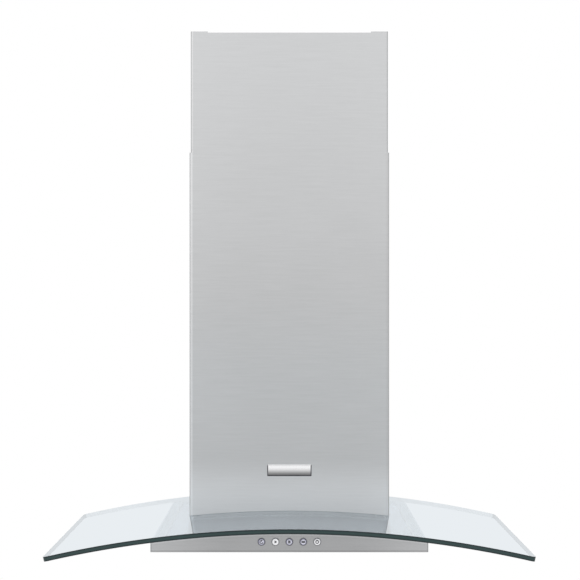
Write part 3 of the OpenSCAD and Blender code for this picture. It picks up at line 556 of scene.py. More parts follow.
@dataclass(frozen=True)
class PaintedReflectionChrome(Finish):
    """Satin chrome with a painted dark reflection towards the plate's lower edge."""

    low: float = -0.1995
    high: float = -0.184

    def paint(self, graph: Graph) -> None:
        """A slow fall of tone with height, a painted dark reflection towards the lower edge, and
        faint polishing marks.

        Args:
            graph: The material's graph.
        """
        place = graph.place()
        rise = graph.part(place, 2).within(self.low, self.high)
        marks = graph.noise(graph.stretched(place, (40.0, 40.0, 900.0)), 1.0, 3.0) - 0.5
        # Painted dark reflection: the tone falls towards the lower edge.
        tone = 0.16 + rise * 0.76 + marks * 0.05
        graph.surface(
            Base_Color=graph.shaded((0.985, 0.99, 1.0), tone),
            Metallic=1.0,
            Roughness=0.16 + marks * 0.08,
            Normal=graph.bump(marks + 0.5, 0.04, 0.0001),
        )


@dataclass(frozen=True)
class Moulding(Finish):
    """Moulded plastic or rubber, with a fine texture and faint flow marks."""

    colour: Colour = (0.8, 0.8, 0.78)
    roughness: float = 0.45
    texture: float = 900.0
    relief: float = 0.12
    gloss: float = 0.0

    def paint(self, graph: Graph) -> None:
        """Spark texture over slow changes of shade.

        Args:
            graph: The material's graph.
        """
        place = graph.place()
        spark = graph.noise(place, self.texture, 2.0)
        flow = graph.noise(graph.stretched(place, (1.0, 1.0, 2.6)), 28.0, 3.0) - 0.5
        graph.surface(
            Base_Color=graph.shaded(self.colour, 1.0 + flow * 0.08 + (spark - 0.5) * 0.06),
            Roughness=self.roughness + (spark - 0.5) * 0.14 + flow * 0.08,
            Coat_Weight=self.gloss,
            Coat_Roughness=0.08,
            Normal=graph.bump(spark, self.relief, 0.0002),
        )


@dataclass(frozen=True)
class LaminatedIron(Finish):
    """Stacked core sheets, seen on their edges."""

    sheet: float = 0.0005

    def paint(self, graph: Graph) -> None:
        """A dark line between each sheet and the next.

        Args:
            graph: The material's graph.
        """
        place = graph.place()
        seam = (graph.part(place, 0) * (math.tau / self.sheet)).sine().within(-0.2, 0.9)
        stain = graph.noise(place, 90.0, 3.0)
        graph.surface(
            Base_Color=graph.shaded((0.2, 0.2, 0.21), 0.75 + seam * 0.4 + stain * 0.2),
            Metallic=1.0,
            Roughness=0.62 - seam * 0.2,
            Normal=graph.bump(seam, 0.3, 0.0001),
        )


@dataclass(frozen=True)
class GlassFace(Finish):
    """The canopy's polished faces, faintly green."""

    tint: Colour = (0.87, 0.9, 0.92)
    shine: Colour = (0.835, 0.87, 0.9)
    index: float = 1.6
    gain: float = 1.25

    def paint(self, graph: Graph) -> None:
        """Clear, with what its two faces reflect together, and a trace of dust.

        Args:
            graph: The material's graph.
        """
        place = graph.place()
        dust = graph.noise(place, 140.0, 3.0)
        clear = graph.node("ShaderNodeBsdfTransparent", inputs={0: (*self.tint, 1.0)})
        shine = graph.node(
            "ShaderNodeBsdfGlossy",
            inputs={"Color": (*self.shine, 1.0), "Roughness": dust * 0.02 + 0.004},
        )
        back = graph.behind()
        one = graph.node("ShaderNodeFresnel", inputs={"IOR": self.index})
        both = one * 2.0 / (one + 1.0)
        share = both * (self.gain - both * (self.gain - 1.0)) * (1.0 - back)
        graph.end(graph.node("ShaderNodeMixShader", inputs={0: share, 1: clear, 2: shine}))


@dataclass(frozen=True)
class GlassEdge(Finish):
    """The canopy's ground and polished edge, dark green, with a painted paler core and darker rims
    standing in for light carried inside the glass.
    """

    core_r: float = 1.777
    half: float = 0.004
    arc_z: float = -2.043

    def paint(self, graph: Graph) -> None:
        """Painted light and shade by the depth under the glass faces.

        Args:
            graph: The material's graph.
        """
        place = graph.place()
        across, up = graph.part(place, 0), graph.part(place, 2) - self.arc_z
        depth = abs((across * across + up * up).root() - self.core_r) / self.half
        ripple = graph.noise(graph.stretched(place, (60.0, 60.0, 8.0)), 1.0, 3.0) - 0.5
        # A painted paler core and darker rims, standing in for light carried inside the glass.
        rim = (depth + ripple * 0.2).within(0.15, 0.95)
        colour = graph.blend(rim, (0.022, 0.05, 0.05, 1.0), (0.002, 0.01, 0.012, 1.0))
        graph.surface(
            Base_Color=graph.shaded(colour, 1.0 + ripple * 0.5),
            Roughness=0.2 + rim * 0.1,
            Specular_IOR_Level=0.35,
            Normal=graph.bump(ripple + 0.5, 0.06, 0.0003),
        )


@dataclass(frozen=True)
class FrostedLens(Finish):
    """Frosted lamp lens with a fine prism pattern."""

    colour: Colour = (0.7, 0.7, 0.68)

    def paint(self, graph: Graph) -> None:
        """Small prisms under a smooth face.

        Args:
            graph: The material's graph.
        """
        place = graph.place()
        cells = graph.node("ShaderNodeTexVoronoi", inputs={"Vector": place, "Scale": 420.0})
        graph.surface(
            Base_Color=graph.shaded(self.colour, 0.92 + cells * 0.25),
            Roughness=0.22 + cells * 0.3,
            Coat_Weight=0.7,
            Coat_Roughness=0.06,
            Normal=graph.bump(cells, 0.25, 0.0004),
        )


@dataclass(frozen=True)
class EnamelledWire(Finish):
    """Copper wire under clear enamel."""

    def paint(self, graph: Graph) -> None:
        """Each turn a little lighter or darker than the next.

        Args:
            graph: The material's graph.
        """
        place = graph.place()
        turns = graph.noise(graph.stretched(place, (2600.0, 300.0, 300.0)), 1.0, 2.0)
        graph.surface(
            Base_Color=graph.shaded((0.6, 0.24, 0.09), 0.7 + turns * 0.6),
            Metallic=1.0,
            Roughness=0.25 + turns * 0.15,
            Coat_Weight=0.4,
            Coat_Roughness=0.1,
            Normal=graph.bump(turns, 0.3, 0.0002),
        )


@dataclass(frozen=True)
class Sheath(Finish):
    """Smooth cable sheath with faint draw lines along it."""

    colour: Colour = (0.03, 0.03, 0.032)

    def paint(self, graph: Graph) -> None:
        """Draw lines and scuffs.

        Args:
            graph: The material's graph.
        """
        place = graph.place()
        scuff = graph.noise(place, 260.0, 4.0)
        slow = graph.noise(place, 20.0, 2.0)
        graph.surface(
            Base_Color=graph.shaded(self.colour, 0.8 + scuff * 0.35 + slow * 0.15),
            Roughness=0.42 + scuff * 0.15,
            Normal=graph.bump(scuff, 0.15, 0.0002),
        )


class Stock(Enum):
    """The finishes that the hood is made in."""

    FASCIA = FasciaSteel("fascia_steel", 0.376, 0.32)
    # Painted shade: a darker tone for the band along the fascia's foot.
    FASCIA_SHADE_BAND = FasciaSteel("fascia_hem_steel", 0.31, 0.34)
    # Painted shade on the fascia's bottom and side edge bevels.
    EDGE_SHADE = BrushedSteel("hem_steel", 0.3, 0.4)
    FLUE = FlueSteel("flue_steel", 0.49, 0.34)
    # Painted shade on the outer face of each flue's front fold.
    CREASE = BrushedSteel("crease_steel", 0.32, 0.34)
    DECK = DeckSteel("deck_steel", 0.8, 0.24)
    PANEL = BrushedSteel("panel_steel", 0.56, 0.33)
    ZINC = Galvanised("zinc_sheet", 0.52)
    SCROLL_ZINC = Galvanised("scroll_sheet", 0.5, 0.009)
    MESH_ALUMINIUM = PlainMetal("net_aluminium", (0.62, 0.63, 0.65), 0.38, 400.0)
    FLAP_ALUMINIUM = PlainMetal("flap_aluminium", (0.66, 0.67, 0.69), 0.34, 300.0)
    CAST_ALUMINIUM = PlainMetal("cast_aluminium", (0.5, 0.5, 0.51), 0.5, 700.0, 0.35)
    GROUND_STEEL = PlainMetal("ground_steel", (0.58, 0.58, 0.6), 0.22, 900.0, 0.05)
    SCREW_STEEL = PlainMetal("screw_steel", (0.6, 0.6, 0.62), 0.28, 1200.0)
    SPRING_WIRE = PlainMetal("spring_wire", (0.46, 0.46, 0.49), 0.25, 1500.0)
    BRONZE = PlainMetal("sintered_bronze", (0.5, 0.34, 0.14), 0.45, 2200.0, 0.3)
    TRIM = PlainMetal("polished_trim", (0.58, 0.58, 0.6), 0.12, 150.0, 0.03)
    CHROME = PaintedReflectionChrome("badge_chrome")
    # Painted shade on the badge rim's sides and lower edge.
    BADGE_RIM_SHADE = PlainMetal("smoked_chrome", (0.07, 0.07, 0.08), 0.3, 150.0, 0.02)
    CORE_IRON = LaminatedIron("core_iron")
    COPPER = EnamelledWire("winding_wire")
    GLASS = GlassFace("glass_face")
    GLASS_EDGE = GlassEdge("glass_edge")
    GROUND_EDGE = Moulding("ground_glass", (0.78, 0.81, 0.82), 0.5, 700.0, 0.15)
    LENS = FrostedLens("lamp_lens")
    SHEATH = Sheath("cable_sheath")
    SILICONE = Moulding("milky_silicone", (0.93, 0.95, 0.95), 0.35, 500.0, 0.08)
    FOOT = Moulding("smoky_silicone", (0.46, 0.49, 0.51), 0.4, 500.0, 0.08)
    RUBBER = Moulding("seal_rubber", (0.03, 0.03, 0.032), 0.62, 700.0, 0.2)
    WHITE = Moulding("white_moulding", (0.78, 0.78, 0.75), 0.42)
    NYLON = Moulding("glide_nylon", (0.85, 0.84, 0.79), 0.36)
    DARK = Moulding("dark_moulding", (0.045, 0.045, 0.05), 0.4)
    SLIDER = Moulding("slider_moulding", (0.13, 0.13, 0.14), 0.4)
    BEZEL = Moulding("bezel_moulding", (0.2, 0.2, 0.215), 0.32, 1200.0, 0.05, 0.3)
    FAN = Moulding("fan_moulding", (0.05, 0.055, 0.06), 0.5)
    LILAC = Moulding("lilac_cap", (0.67, 0.67, 0.78), 0.22, 1500.0, 0.03, 0.6)
    PLUM = Moulding("plum_rim", (0.17, 0.17, 0.25), 0.3, 1500.0, 0.03, 0.4)
    PEARL = Moulding("pearl_cap", (0.94, 0.94, 0.96), 0.22, 1500.0, 0.03, 0.6)
    PRINT = Moulding("mark_print", (0.05, 0.05, 0.06), 0.5, 1500.0, 0.04)

    def material(self) -> bpy.types.Material:
        """The finish's material."""
        return self.value.material()


# The bench


class Axis(Enum):
    """A line to turn about, with the direction that its first radius points in."""

    X = (Vector((1.0, 0.0, 0.0)), Vector((0.0, 0.0, 1.0)), (0.0, math.pi / 2, 0.0))
    Y = (Vector((0.0, 1.0, 0.0)), Vector((0.0, 0.0, 1.0)), (-math.pi / 2, 0.0, 0.0))
    Z = (Vector((0.0, 0.0, 1.0)), Vector((1.0, 0.0, 0.0)), (0.0, 0.0, 0.0))

    @property
    def along(self) -> Vector:
        """The line's direction."""
        return self.value[0].copy()

    @property
    def out(self) -> Vector:
        """The first radius's direction."""
        return self.value[1].copy()

    @property
    def turn(self) -> Point:
        """The rotation that lays the Z axis along this one."""
        return self.value[2]


def clear_bench() -> None:
    """Deselects every object."""
    bpy.ops.object.select_all(action="DESELECT")
    bpy.context.view_layer.objects.active = None


class Shape:
    """A mesh piece on the bench, which is shaped with Blender's own tools."""

    def __init__(self, thing: bpy.types.Object) -> None:
        """Takes an object onto the bench."""
        self.thing = thing

    # Starting

    @classmethod
    def fresh(cls, name: str) -> "Shape":
        """Names the primitive that was just added, and puts its place in its mesh.

        Args:
            name: The piece's name.

        Returns:
            The primitive.
        """
        bpy.ops.object.transform_apply(location=True, rotation=True, scale=True)
        return cls(bpy.context.object).named(name)

    @classmethod
    def block(cls, name: str, low: Point, high: Point) -> "Shape":
        """A block between two corners.

        Args:
            name: The piece's name.
            low: Its lowest corner, in metres.
            high: Its highest corner.

        Returns:
            The block, ready to be shaped.
        """
        clear_bench()
        low, high = Vector(low), Vector(high)
        bpy.ops.mesh.primitive_cube_add(size=1.0, location=(low + high) / 2, scale=high - low)
        return cls.fresh(name)

    @classmethod
    def rod(
        cls, name: str, middle: Point, radius: float, length: float, sides: int = 32
    ) -> "Shape":
        """A rod that lies along the depth.

        Args:
            name: The piece's name.
            middle: Its middle, in metres.
            radius: Its radius.
            length: Its length.
            sides: The number of its flats.

        Returns:
            The rod, ready to be shaped.
        """
        clear_bench()
        bpy.ops.mesh.primitive_cylinder_add(
            vertices=sides, radius=radius, depth=length, location=middle, rotation=Axis.Y.turn
        )
        return cls.fresh(name)

    @classmethod
    def turned(
        cls,
        name: str,
        profile: Sequence[tuple[float, float]],
        centre: Point,
        axis: Axis,
        steps: int = 48,
        sweep: float = math.tau,
    ) -> "Shape":
        """A profile turned about a line, as on a lathe.

        Args:
            name: The piece's name.
            profile: Radius and place along the line of each corner, in metres.
            centre: A point on the line.
            axis: The line.
            steps: How many facets a turn has.
            sweep: How far round it goes, in radians.

        Returns:
            The turned piece.
        """
        clear_bench()
        corners = [Vector(centre) + axis.along * place + axis.out * r for r, place in profile]
        bpy.ops.mesh.primitive_plane_add(size=0.001, location=corners[0])
        shape = cls.fresh(name)
        with shape.editing():
            bpy.ops.mesh.select_mode(type="VERT")
            bpy.ops.mesh.select_all(action="SELECT")
            bpy.ops.mesh.merge(type="CENTER")
            for here, there in zip(corners, corners[1:]):
                bpy.ops.mesh.extrude_region_move(TRANSFORM_OT_translate={"value": there - here})
            bpy.ops.mesh.select_all(action="SELECT")
            bpy.ops.mesh.spin(steps=steps, angle=sweep, center=centre, axis=axis.along)
            shape.cleaned()
        return shape

    @classmethod
    def coil(
        cls,
        name: str,
        start: Point,
        axis: Axis,
        radius: float,
        wire: float,
        length: float,
        turns: int,
    ) -> "Shape":
        """A wire coil with closed ends.

        Args:
            name: The piece's name.
            start: The middle of its first end, in metres.
            axis: The line that it winds about.
            radius: From the line to the middle of the wire.
            wire: The wire's radius.
            length: From end to end, wire included.
            turns: How often it goes round.

        Returns:
            The coil.
        """
        clear_bench()
        bpy.ops.mesh.primitive_circle_add(
            vertices=8, radius=wire, location=(radius, 0.0, wire), rotation=(math.pi / 2, 0.0, 0.0)
        )
        shape = cls.fresh(name)
        shape.modified(
            "SCREW",
            angle=math.tau,
            screw_offset=(length - 2 * wire) / turns,
            iterations=turns,
            steps=20,
            render_steps=20,
        )
        with shape.editing():
            bpy.ops.mesh.select_all(action="SELECT")
            bpy.ops.mesh.fill_holes(sides=0)
            bpy.ops.mesh.normals_make_consistent(inside=False)
        shape.thing.rotation_euler = axis.turn
        shape.thing.location = start
        return shape.settled()

    @classmethod
    def tube(cls, name: str, route: Sequence[Point], radius: float, bend: float) -> "Shape":
        """A cable of one smooth curve along a route.

        Args:
            name: The piece's name.
            route: The corners of the route, in metres.
            radius: The cable's radius.
            bend: How far from a corner its bend starts.

        Returns:
            The cable as a mesh, with both ends closed.
        """
        clear_bench()
        corners = [Vector(corner) for corner in route]
        path = [corners[0]]
        for before, corner, after in zip(corners, corners[1:], corners[2:]):
            reach = min(bend, (corner - before).length * 0.45, (after - corner).length * 0.45)
            first = corner + (before - corner).normalized() * reach
            last = corner + (after - corner).normalized() * reach
            for step in range(7):
                share = step / 6
                path.append(first.lerp(corner, share).lerp(corner.lerp(last, share), share))
        path.append(corners[-1])
        line = bpy.data.curves.new(name, "CURVE")
        line.dimensions = "3D"
        line.bevel_depth = radius
        line.bevel_resolution = 4
        line.use_fill_caps = True
        spline = line.splines.new("POLY")
        spline.points.add(len(path) - 1)
        for point, place in zip(spline.points, path):
            point.co = (*place, 1.0)
        thing = bpy.data.objects.new(name, line)
        bpy.context.collection.objects.link(thing)
        shape = cls(thing).active()
        bpy.ops.object.convert(target="MESH")
        return shape

    @classmethod
    def from_node(cls, node: str, name: str) -> "Shape":
        """A merged copy of a node of the frame, which then stands for the node.

        Args:
            node: The node's name.
            name: The piece's name.

        Returns:
            The copy, with flat faces in one piece.
        """
        thing = frame["nodes"][node].copy()
        thing.data = frame["nodes"][node].data.copy()
        thing.parent = None
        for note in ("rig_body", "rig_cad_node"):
            del thing[note]
        bpy.context.collection.objects.link(thing)
        shape = cls(thing).named(name).active()
        bpy.ops.mesh.customdata_custom_splitnormals_clear()
        with shape.editing():
            bpy.ops.mesh.select_all(action="SELECT")
            bpy.ops.mesh.remove_doubles(threshold=2e-6)
            bpy.ops.mesh.dissolve_limited(angle_limit=math.radians(0.4))
        return shape

    # Shaping

    def named(self, name: str) -> "Shape":
        """Names the object and its mesh."""
        self.thing.name = self.thing.data.name = name
        return self

    def active(self) -> "Shape":
        """Makes this the one selected object.

        Returns:
            This shape.
        """
        clear_bench()
        bpy.context.view_layer.objects.active = self.thing
        self.thing.select_set(True)
        return self

    @contextmanager
    def editing(self) -> Iterator[None]:
        """Edit mode, with nothing selected at first.

        Returns:
            A block with this shape in edit mode.
        """
        self.active()
        bpy.ops.object.mode_set(mode="EDIT")
        bpy.ops.mesh.select_all(action="DESELECT")
        yield
        bpy.ops.object.mode_set(mode="OBJECT")

    def pick_faces(self, wanted: FaceTest) -> None:
        """Selects the faces whose middle and normal pass the test.

        Args:
            wanted: The test that picks them.
        """
        bpy.ops.mesh.select_mode(type="FACE")
        bpy.ops.mesh.select_all(action="DESELECT")
        mesh = bmesh.from_edit_mesh(self.thing.data)
        for face in mesh.faces:
            if wanted(face.calc_center_median(), face.normal):
                face.select_set(True)
        bmesh.update_edit_mesh(self.thing.data)

    def pick_edges(self, wanted: EdgeTest) -> None:
        """Selects the edges whose two ends pass the test.

        Args:
            wanted: The test that picks them.
        """
        bpy.ops.mesh.select_mode(type="EDGE")
        bpy.ops.mesh.select_all(action="DESELECT")
        mesh = bmesh.from_edit_mesh(self.thing.data)
        for edge in mesh.edges:
            if wanted(edge.verts[0].co, edge.verts[1].co):
                edge.select_set(True)
        bmesh.update_edit_mesh(self.thing.data)

    def pick_points(self, wanted: Callable[[Vector], bool]) -> None:
        """Selects the corners that pass the test.

        Args:
            wanted: The test that picks them.
        """
        bpy.ops.mesh.select_mode(type="VERT")
        bpy.ops.mesh.select_all(action="DESELECT")
        mesh = bmesh.from_edit_mesh(self.thing.data)
        for point in mesh.verts:
            if wanted(point.co):
                point.select_set(True)
        mesh.select_flush(True)
        bmesh.update_edit_mesh(self.thing.data)

    def sliced(self, axis: Axis, places: Sequence[float]) -> "Shape":
        """Puts a row of edges across the shape at each place along the axis.

        Args:
            axis: The axis.
            places: Where, in metres.

        Returns:
            This shape.
        """
        with self.editing():
            for place in places:
                bpy.ops.mesh.select_all(action="SELECT")
                bpy.ops.mesh.bisect(plane_co=axis.along * place, plane_no=axis.along)
        return self

    def cleaned(self) -> None:
        """In edit mode, merges doubles and turns every face outwards."""
        bpy.ops.mesh.select_all(action="SELECT")
        bpy.ops.mesh.remove_doubles(threshold=1e-6)
        bpy.ops.mesh.normals_make_consistent(inside=False)

    def inset(self, wanted: FaceTest, by: float) -> None:
        """Insets faces.

        Args:
            wanted: The test that picks the faces.
            by: How far in, in metres.
        """
        with self.editing():
            self.pick_faces(wanted)
            bpy.ops.mesh.inset(thickness=by, use_boundary=True)

    def rounded(self, wanted: EdgeTest, by: float, segments: int) -> None:
        """Bevels the edges that pass the test.

        Args:
            wanted: The test that picks the edges.
            by: The bevel's width, in metres.
            segments: How many facets it has.
        """
        with self.editing():
            self.pick_edges(wanted)
            bpy.ops.mesh.bevel(offset=by, segments=segments, affect="EDGES")

    def modified(self, kind: str, **settings: Any) -> "Shape":
        """Adds a modifier and applies it.

        Args:
            kind: The modifier's type.
            settings: Its settings.

        Returns:
            This shape.
        """
        modifier = self.thing.modifiers.new(kind.lower(), kind)
        for key, value in settings.items():
            setattr(modifier, key, value)
        self.active()
        bpy.ops.object.modifier_apply(modifier=modifier.name)
        return self

    def eased(self, by: float, segments: int = 2, over: float = 35.0) -> "Shape":
        """Takes the sharpness off every edge.

        Args:
            by: The width taken off, in metres.
            segments: How many facets the new edge has.
            over: The angle that counts as sharp, in degrees.

        Returns:
            This shape.
        """
        return self.modified(
            "BEVEL",
            width=by,
            segments=segments,
            limit_method="ANGLE",
            angle_limit=math.radians(over),
        )

    def flattened(self) -> "Shape":
        """Keeps large faces flat beside their eased edges."""
        return self.modified("WEIGHTED_NORMAL", weight=80, keep_sharp=True)

    def cut(self, cutter: "Shape") -> None:
        """Cuts another shape out of this one, and uses it up."""
        self.modified("BOOLEAN", operation="DIFFERENCE", solver="EXACT", object=cutter.thing)
        bpy.data.objects.remove(cutter.thing)

    def bent(self, half: float, radius: float, height: float) -> None:
        """Bends an upright sheet to an arc over its width, and lays it down.

        Args:
            half: Half of its flat width, in metres.
            radius: The radius that its back face is bent to.
            height: Where that face's crest then lies.
        """
        self.modified(
            "SIMPLE_DEFORM", deform_method="BEND", deform_axis="Z", angle=2 * half / radius
        )
        self.thing.rotation_euler = (-math.pi / 2, 0.0, 0.0)
        self.thing.location = (0.0, 0.0, height)
        self.settled()

    def settled(self) -> "Shape":
        """Puts the object's place and turn in its mesh.

        Returns:
            This shape.
        """
        self.active()
        bpy.ops.object.transform_apply(location=True, rotation=True, scale=True)
        return self

    def copied(self, name: str, shift: Point) -> "Shape":
        """A copy with a mesh of its own.

        Args:
            name: The copy's name.
            shift: How far it lies from this one, in metres.

        Returns:
            The copy.
        """
        thing = self.thing.copy()
        thing.data = self.thing.data.copy()
        thing.location = shift
        bpy.context.collection.objects.link(thing)
        return Shape(thing).named(name).settled()

    def joined(self, others: Sequence["Shape"]) -> "Shape":
        """Takes other shapes into this one's mesh.

        Args:
            others: The shapes that are used up.

        Returns:
            This shape.
        """
        self.active()
        for other in others:
            other.thing.select_set(True)
        bpy.ops.object.join()
        return self

    # Finishing

    def smooth(self, under: float = 32.0) -> "Shape":
        """Shades as smooth where faces meet at less than the angle, in degrees.

        Args:
            under: The angle, in degrees.

        Returns:
            This shape.
        """
        self.active()
        bpy.ops.object.shade_smooth_by_angle(angle=math.radians(under))
        return self

    def dressed(self, stock: Stock) -> "Shape":
        """Gives all of the shape one finish.

        Args:
            stock: The finish.

        Returns:
            This shape.
        """
        self.thing.data.materials.clear()
        self.thing.data.materials.append(stock.material())
        return self

    def dressed_where(self, wanted: FaceTest, stock: Stock) -> None:
        """Gives the faces that pass the test a finish of their own.

        Args:
            wanted: The test that picks them.
            stock: Their finish.
        """
        self.thing.data.materials.append(stock.material())
        with self.editing():
            self.pick_faces(wanted)
            self.thing.active_material_index = len(self.thing.data.materials) - 1
            bpy.ops.object.material_slot_assign()

    def mounted(self, body: str, slot: str, *nodes: str) -> None:
        """Puts the finished piece on its body.

        Args:
            body: The body that it rides on.
            slot: The record's slot for the piece's finish; not used.
            nodes: The nodes that it stands for.
        """
        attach(self.thing, body)
        if nodes:
            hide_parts(*nodes)
        log.info("piece %s rides on %s", self.thing.name, body)


def dress_node(node: str, stock: Stock) -> None:
    """Gives a node that keeps its own mesh its finish."""
    for held in frame["nodes"][node].material_slots:
        held.material = stock.material()
    log.info("node %s is dressed", node)


def ease_node(node: str, body: str, slot: str, stock: Stock, by: float) -> None:
    """Replaces a node by a copy with its edges eased.

    Args:
        node: The node's name.
        body: The body that it rides on.
        slot: Its slot in the record.
        stock: Its finish.
        by: How much is taken off its edges, in metres.
    """
    shape = Shape.from_node(node, node + "_eased")
    shape.eased(by).smooth().flattened().dressed(stock)
    shape.mounted(body, slot, node)


# The hood


@dataclass(frozen=True)
class Spring:
    """A coil along the depth.

    Attributes:
        radius: From its line to the middle of the wire, in metres.
        wire: The wire's radius.
        length: From end to end, wire included.
        anchor: Where its still end stands; not used.
        keep: The share of its length that is left at the joint's limit; not used.
        turns: How often it goes round.
    """

    radius: float
    wire: float
    length: float
    anchor: float
    keep: float
    turns: int = 4

    def build(self, name: str, start: Point, body: str, node: str, joint: str) -> None:
        """Makes the coil.

        Args:
            name: The piece's name.
            start: The middle of its moving end, in metres.
            body: The body that it rides on.
            node: The node that it stands for.
            joint: The joint that presses it; not used.
        """
        coil = Shape.coil(name, start, Axis.Y, self.radius, self.wire, self.length, self.turns)
        coil.smooth(60.0).dressed(Stock.SPRING_WIRE).mounted(body, "spring_steel", node)
        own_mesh(coil.thing)


@dataclass
class GlassCanopy:
    """The curved glass sheet, and what holds it."""

    half_width: float = 0.4
    front: float = -0.5
    back: float = -0.001
    thickness: float = 0.008
    low_r: float = 1.773
    top_z: float = -0.262
    corner_r: float = 0.008
    notch: tuple[float, float] = (0.153, -0.256)
    hole_r: float = 0.005
    hole_x: float = 0.16235
    hole_ys: tuple[float, float] = (-0.06, -0.225)
    hole_rim: float = 0.008
    notch_r: float = 0.003
    arris: float = 0.0008
    strips: int = 96

    def build(self) -> None:
        """Makes the glass, and dresses its seal and bolts."""
        self._sheet()
        ease_node("glass_gasket", "hood", "seal_silicone", Stock.SILICONE, 0.0003)
        dress_node("glass_grommets", Stock.RUBBER)
        dress_node("glass_bolts", Stock.SCREW_STEEL)

    @property
    def low_z(self) -> float:
        """The height of the lower face's crest."""
        return self.top_z - self.thickness

    def flat(self, x: float) -> float:
        """A place on the flat sheet, for one across the bent sheet."""
        return math.asin(x / (self.low_r + self.thickness)) * self.low_r

    def _sheet(self) -> None:
        """Cuts the sheet flat and upright, then bends it and lays it down."""
        side, t = self.flat(self.half_width), self.thickness
        sheet = Shape.block("canopy_glass", (-side, -t, self.front), (side, 0.0, self.back))
        sheet.rounded(lambda a, b: abs(a.y - b.y) > t / 2, self.corner_r, 6)
        reach = self.flat(self.notch[0])
        slot = Shape.block("slot", (-reach, -2 * t, self.notch[1]), (reach, t, self.back + 0.02))
        deep = self.notch[1] / 2
        slot.rounded(
            lambda a, b: a.z < deep and b.z < deep and abs(a.y - b.y) > t, self.notch_r, 3
        )
        sheet.cut(slot)
        for x in (-self.hole_x, self.hole_x):
            for y in self.hole_ys:
                sheet.cut(Shape.rod("hole", (self.flat(x), -t / 2, y), self.hole_r, 3 * t))
        sheet.eased(self.arris, 2, 60.0)
        step = 2 * side / self.strips
        sheet.sliced(Axis.X, [-side + step * strip for strip in range(1, self.strips)])
        sheet.dressed(Stock.GLASS)
        sheet.dressed_where(lambda middle, normal: abs(normal.y) < 0.5, Stock.GLASS_EDGE)
        inside = self.flat(self.hole_x) + self.hole_rim
        sheet.dressed_where(
            lambda middle, normal: abs(normal.y) < 0.5
            and (
                middle.z > self.back - 0.001
                or (abs(middle.x) < inside and middle.z > self.notch[1] - 0.002)
            ),
            Stock.GROUND_EDGE,
        )
        sheet.bent(side, self.low_r, self.low_z)
        sheet.smooth(18.0).mounted("hood", "canopy_glass", "glass_canopy")


@dataclass
class SteelBody:
    """The shallow steel body, its panel, and the housing and bracket on it."""

    fold: float = 0.0006
    shade_band: float = 0.0032

    def build(self) -> None:
        """Eases and dresses the sheetwork."""
        self._box()
        for node, slot, stock in (
            ("bottom_panel", "brushed_sheet", Stock.PANEL),
            ("motor_housing", "galvanised", Stock.ZINC),
            ("wall_bracket", "galvanised", Stock.ZINC),
            ("filter_pivots", "galvanised", Stock.ZINC),
        ):
            ease_node(node, "hood", slot, stock, self.fold)
        dress_node("sheet_screws", Stock.SCREW_STEEL)

    def _box(self) -> None:
        """The body, with its front, a band of painted shade along the front's foot, painted shade
        on the front's edge bevels, and its deck in painted light and shade.
        """
        low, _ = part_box("canopy_body")
        shade_band = low[2] + self.shade_band
        box = Shape.from_node("canopy_body", "canopy_body_eased")
        box.eased(self.fold).sliced(Axis.Z, [shade_band]).smooth().flattened().dressed(Stock.FASCIA)
        # The deck's finish has painted shade in front of the chimney and painted light beside it.
        box.dressed_where(lambda middle, normal: normal.z > 0.5, Stock.DECK)
        # Painted shade along the front's foot.
        box.dressed_where(
            lambda middle, normal: normal.y < -0.5 and middle.z < shade_band, Stock.FASCIA_SHADE_BAND
        )
        # Painted shade on the front's bottom and side edge bevels.
        box.dressed_where(
            lambda middle, normal: normal.y < -0.05 and (normal.z < -0.2 or abs(normal.x) > 0.2),
            Stock.EDGE_SHADE,
        )
        box.mounted("hood", "brushed_sheet", "canopy_body")


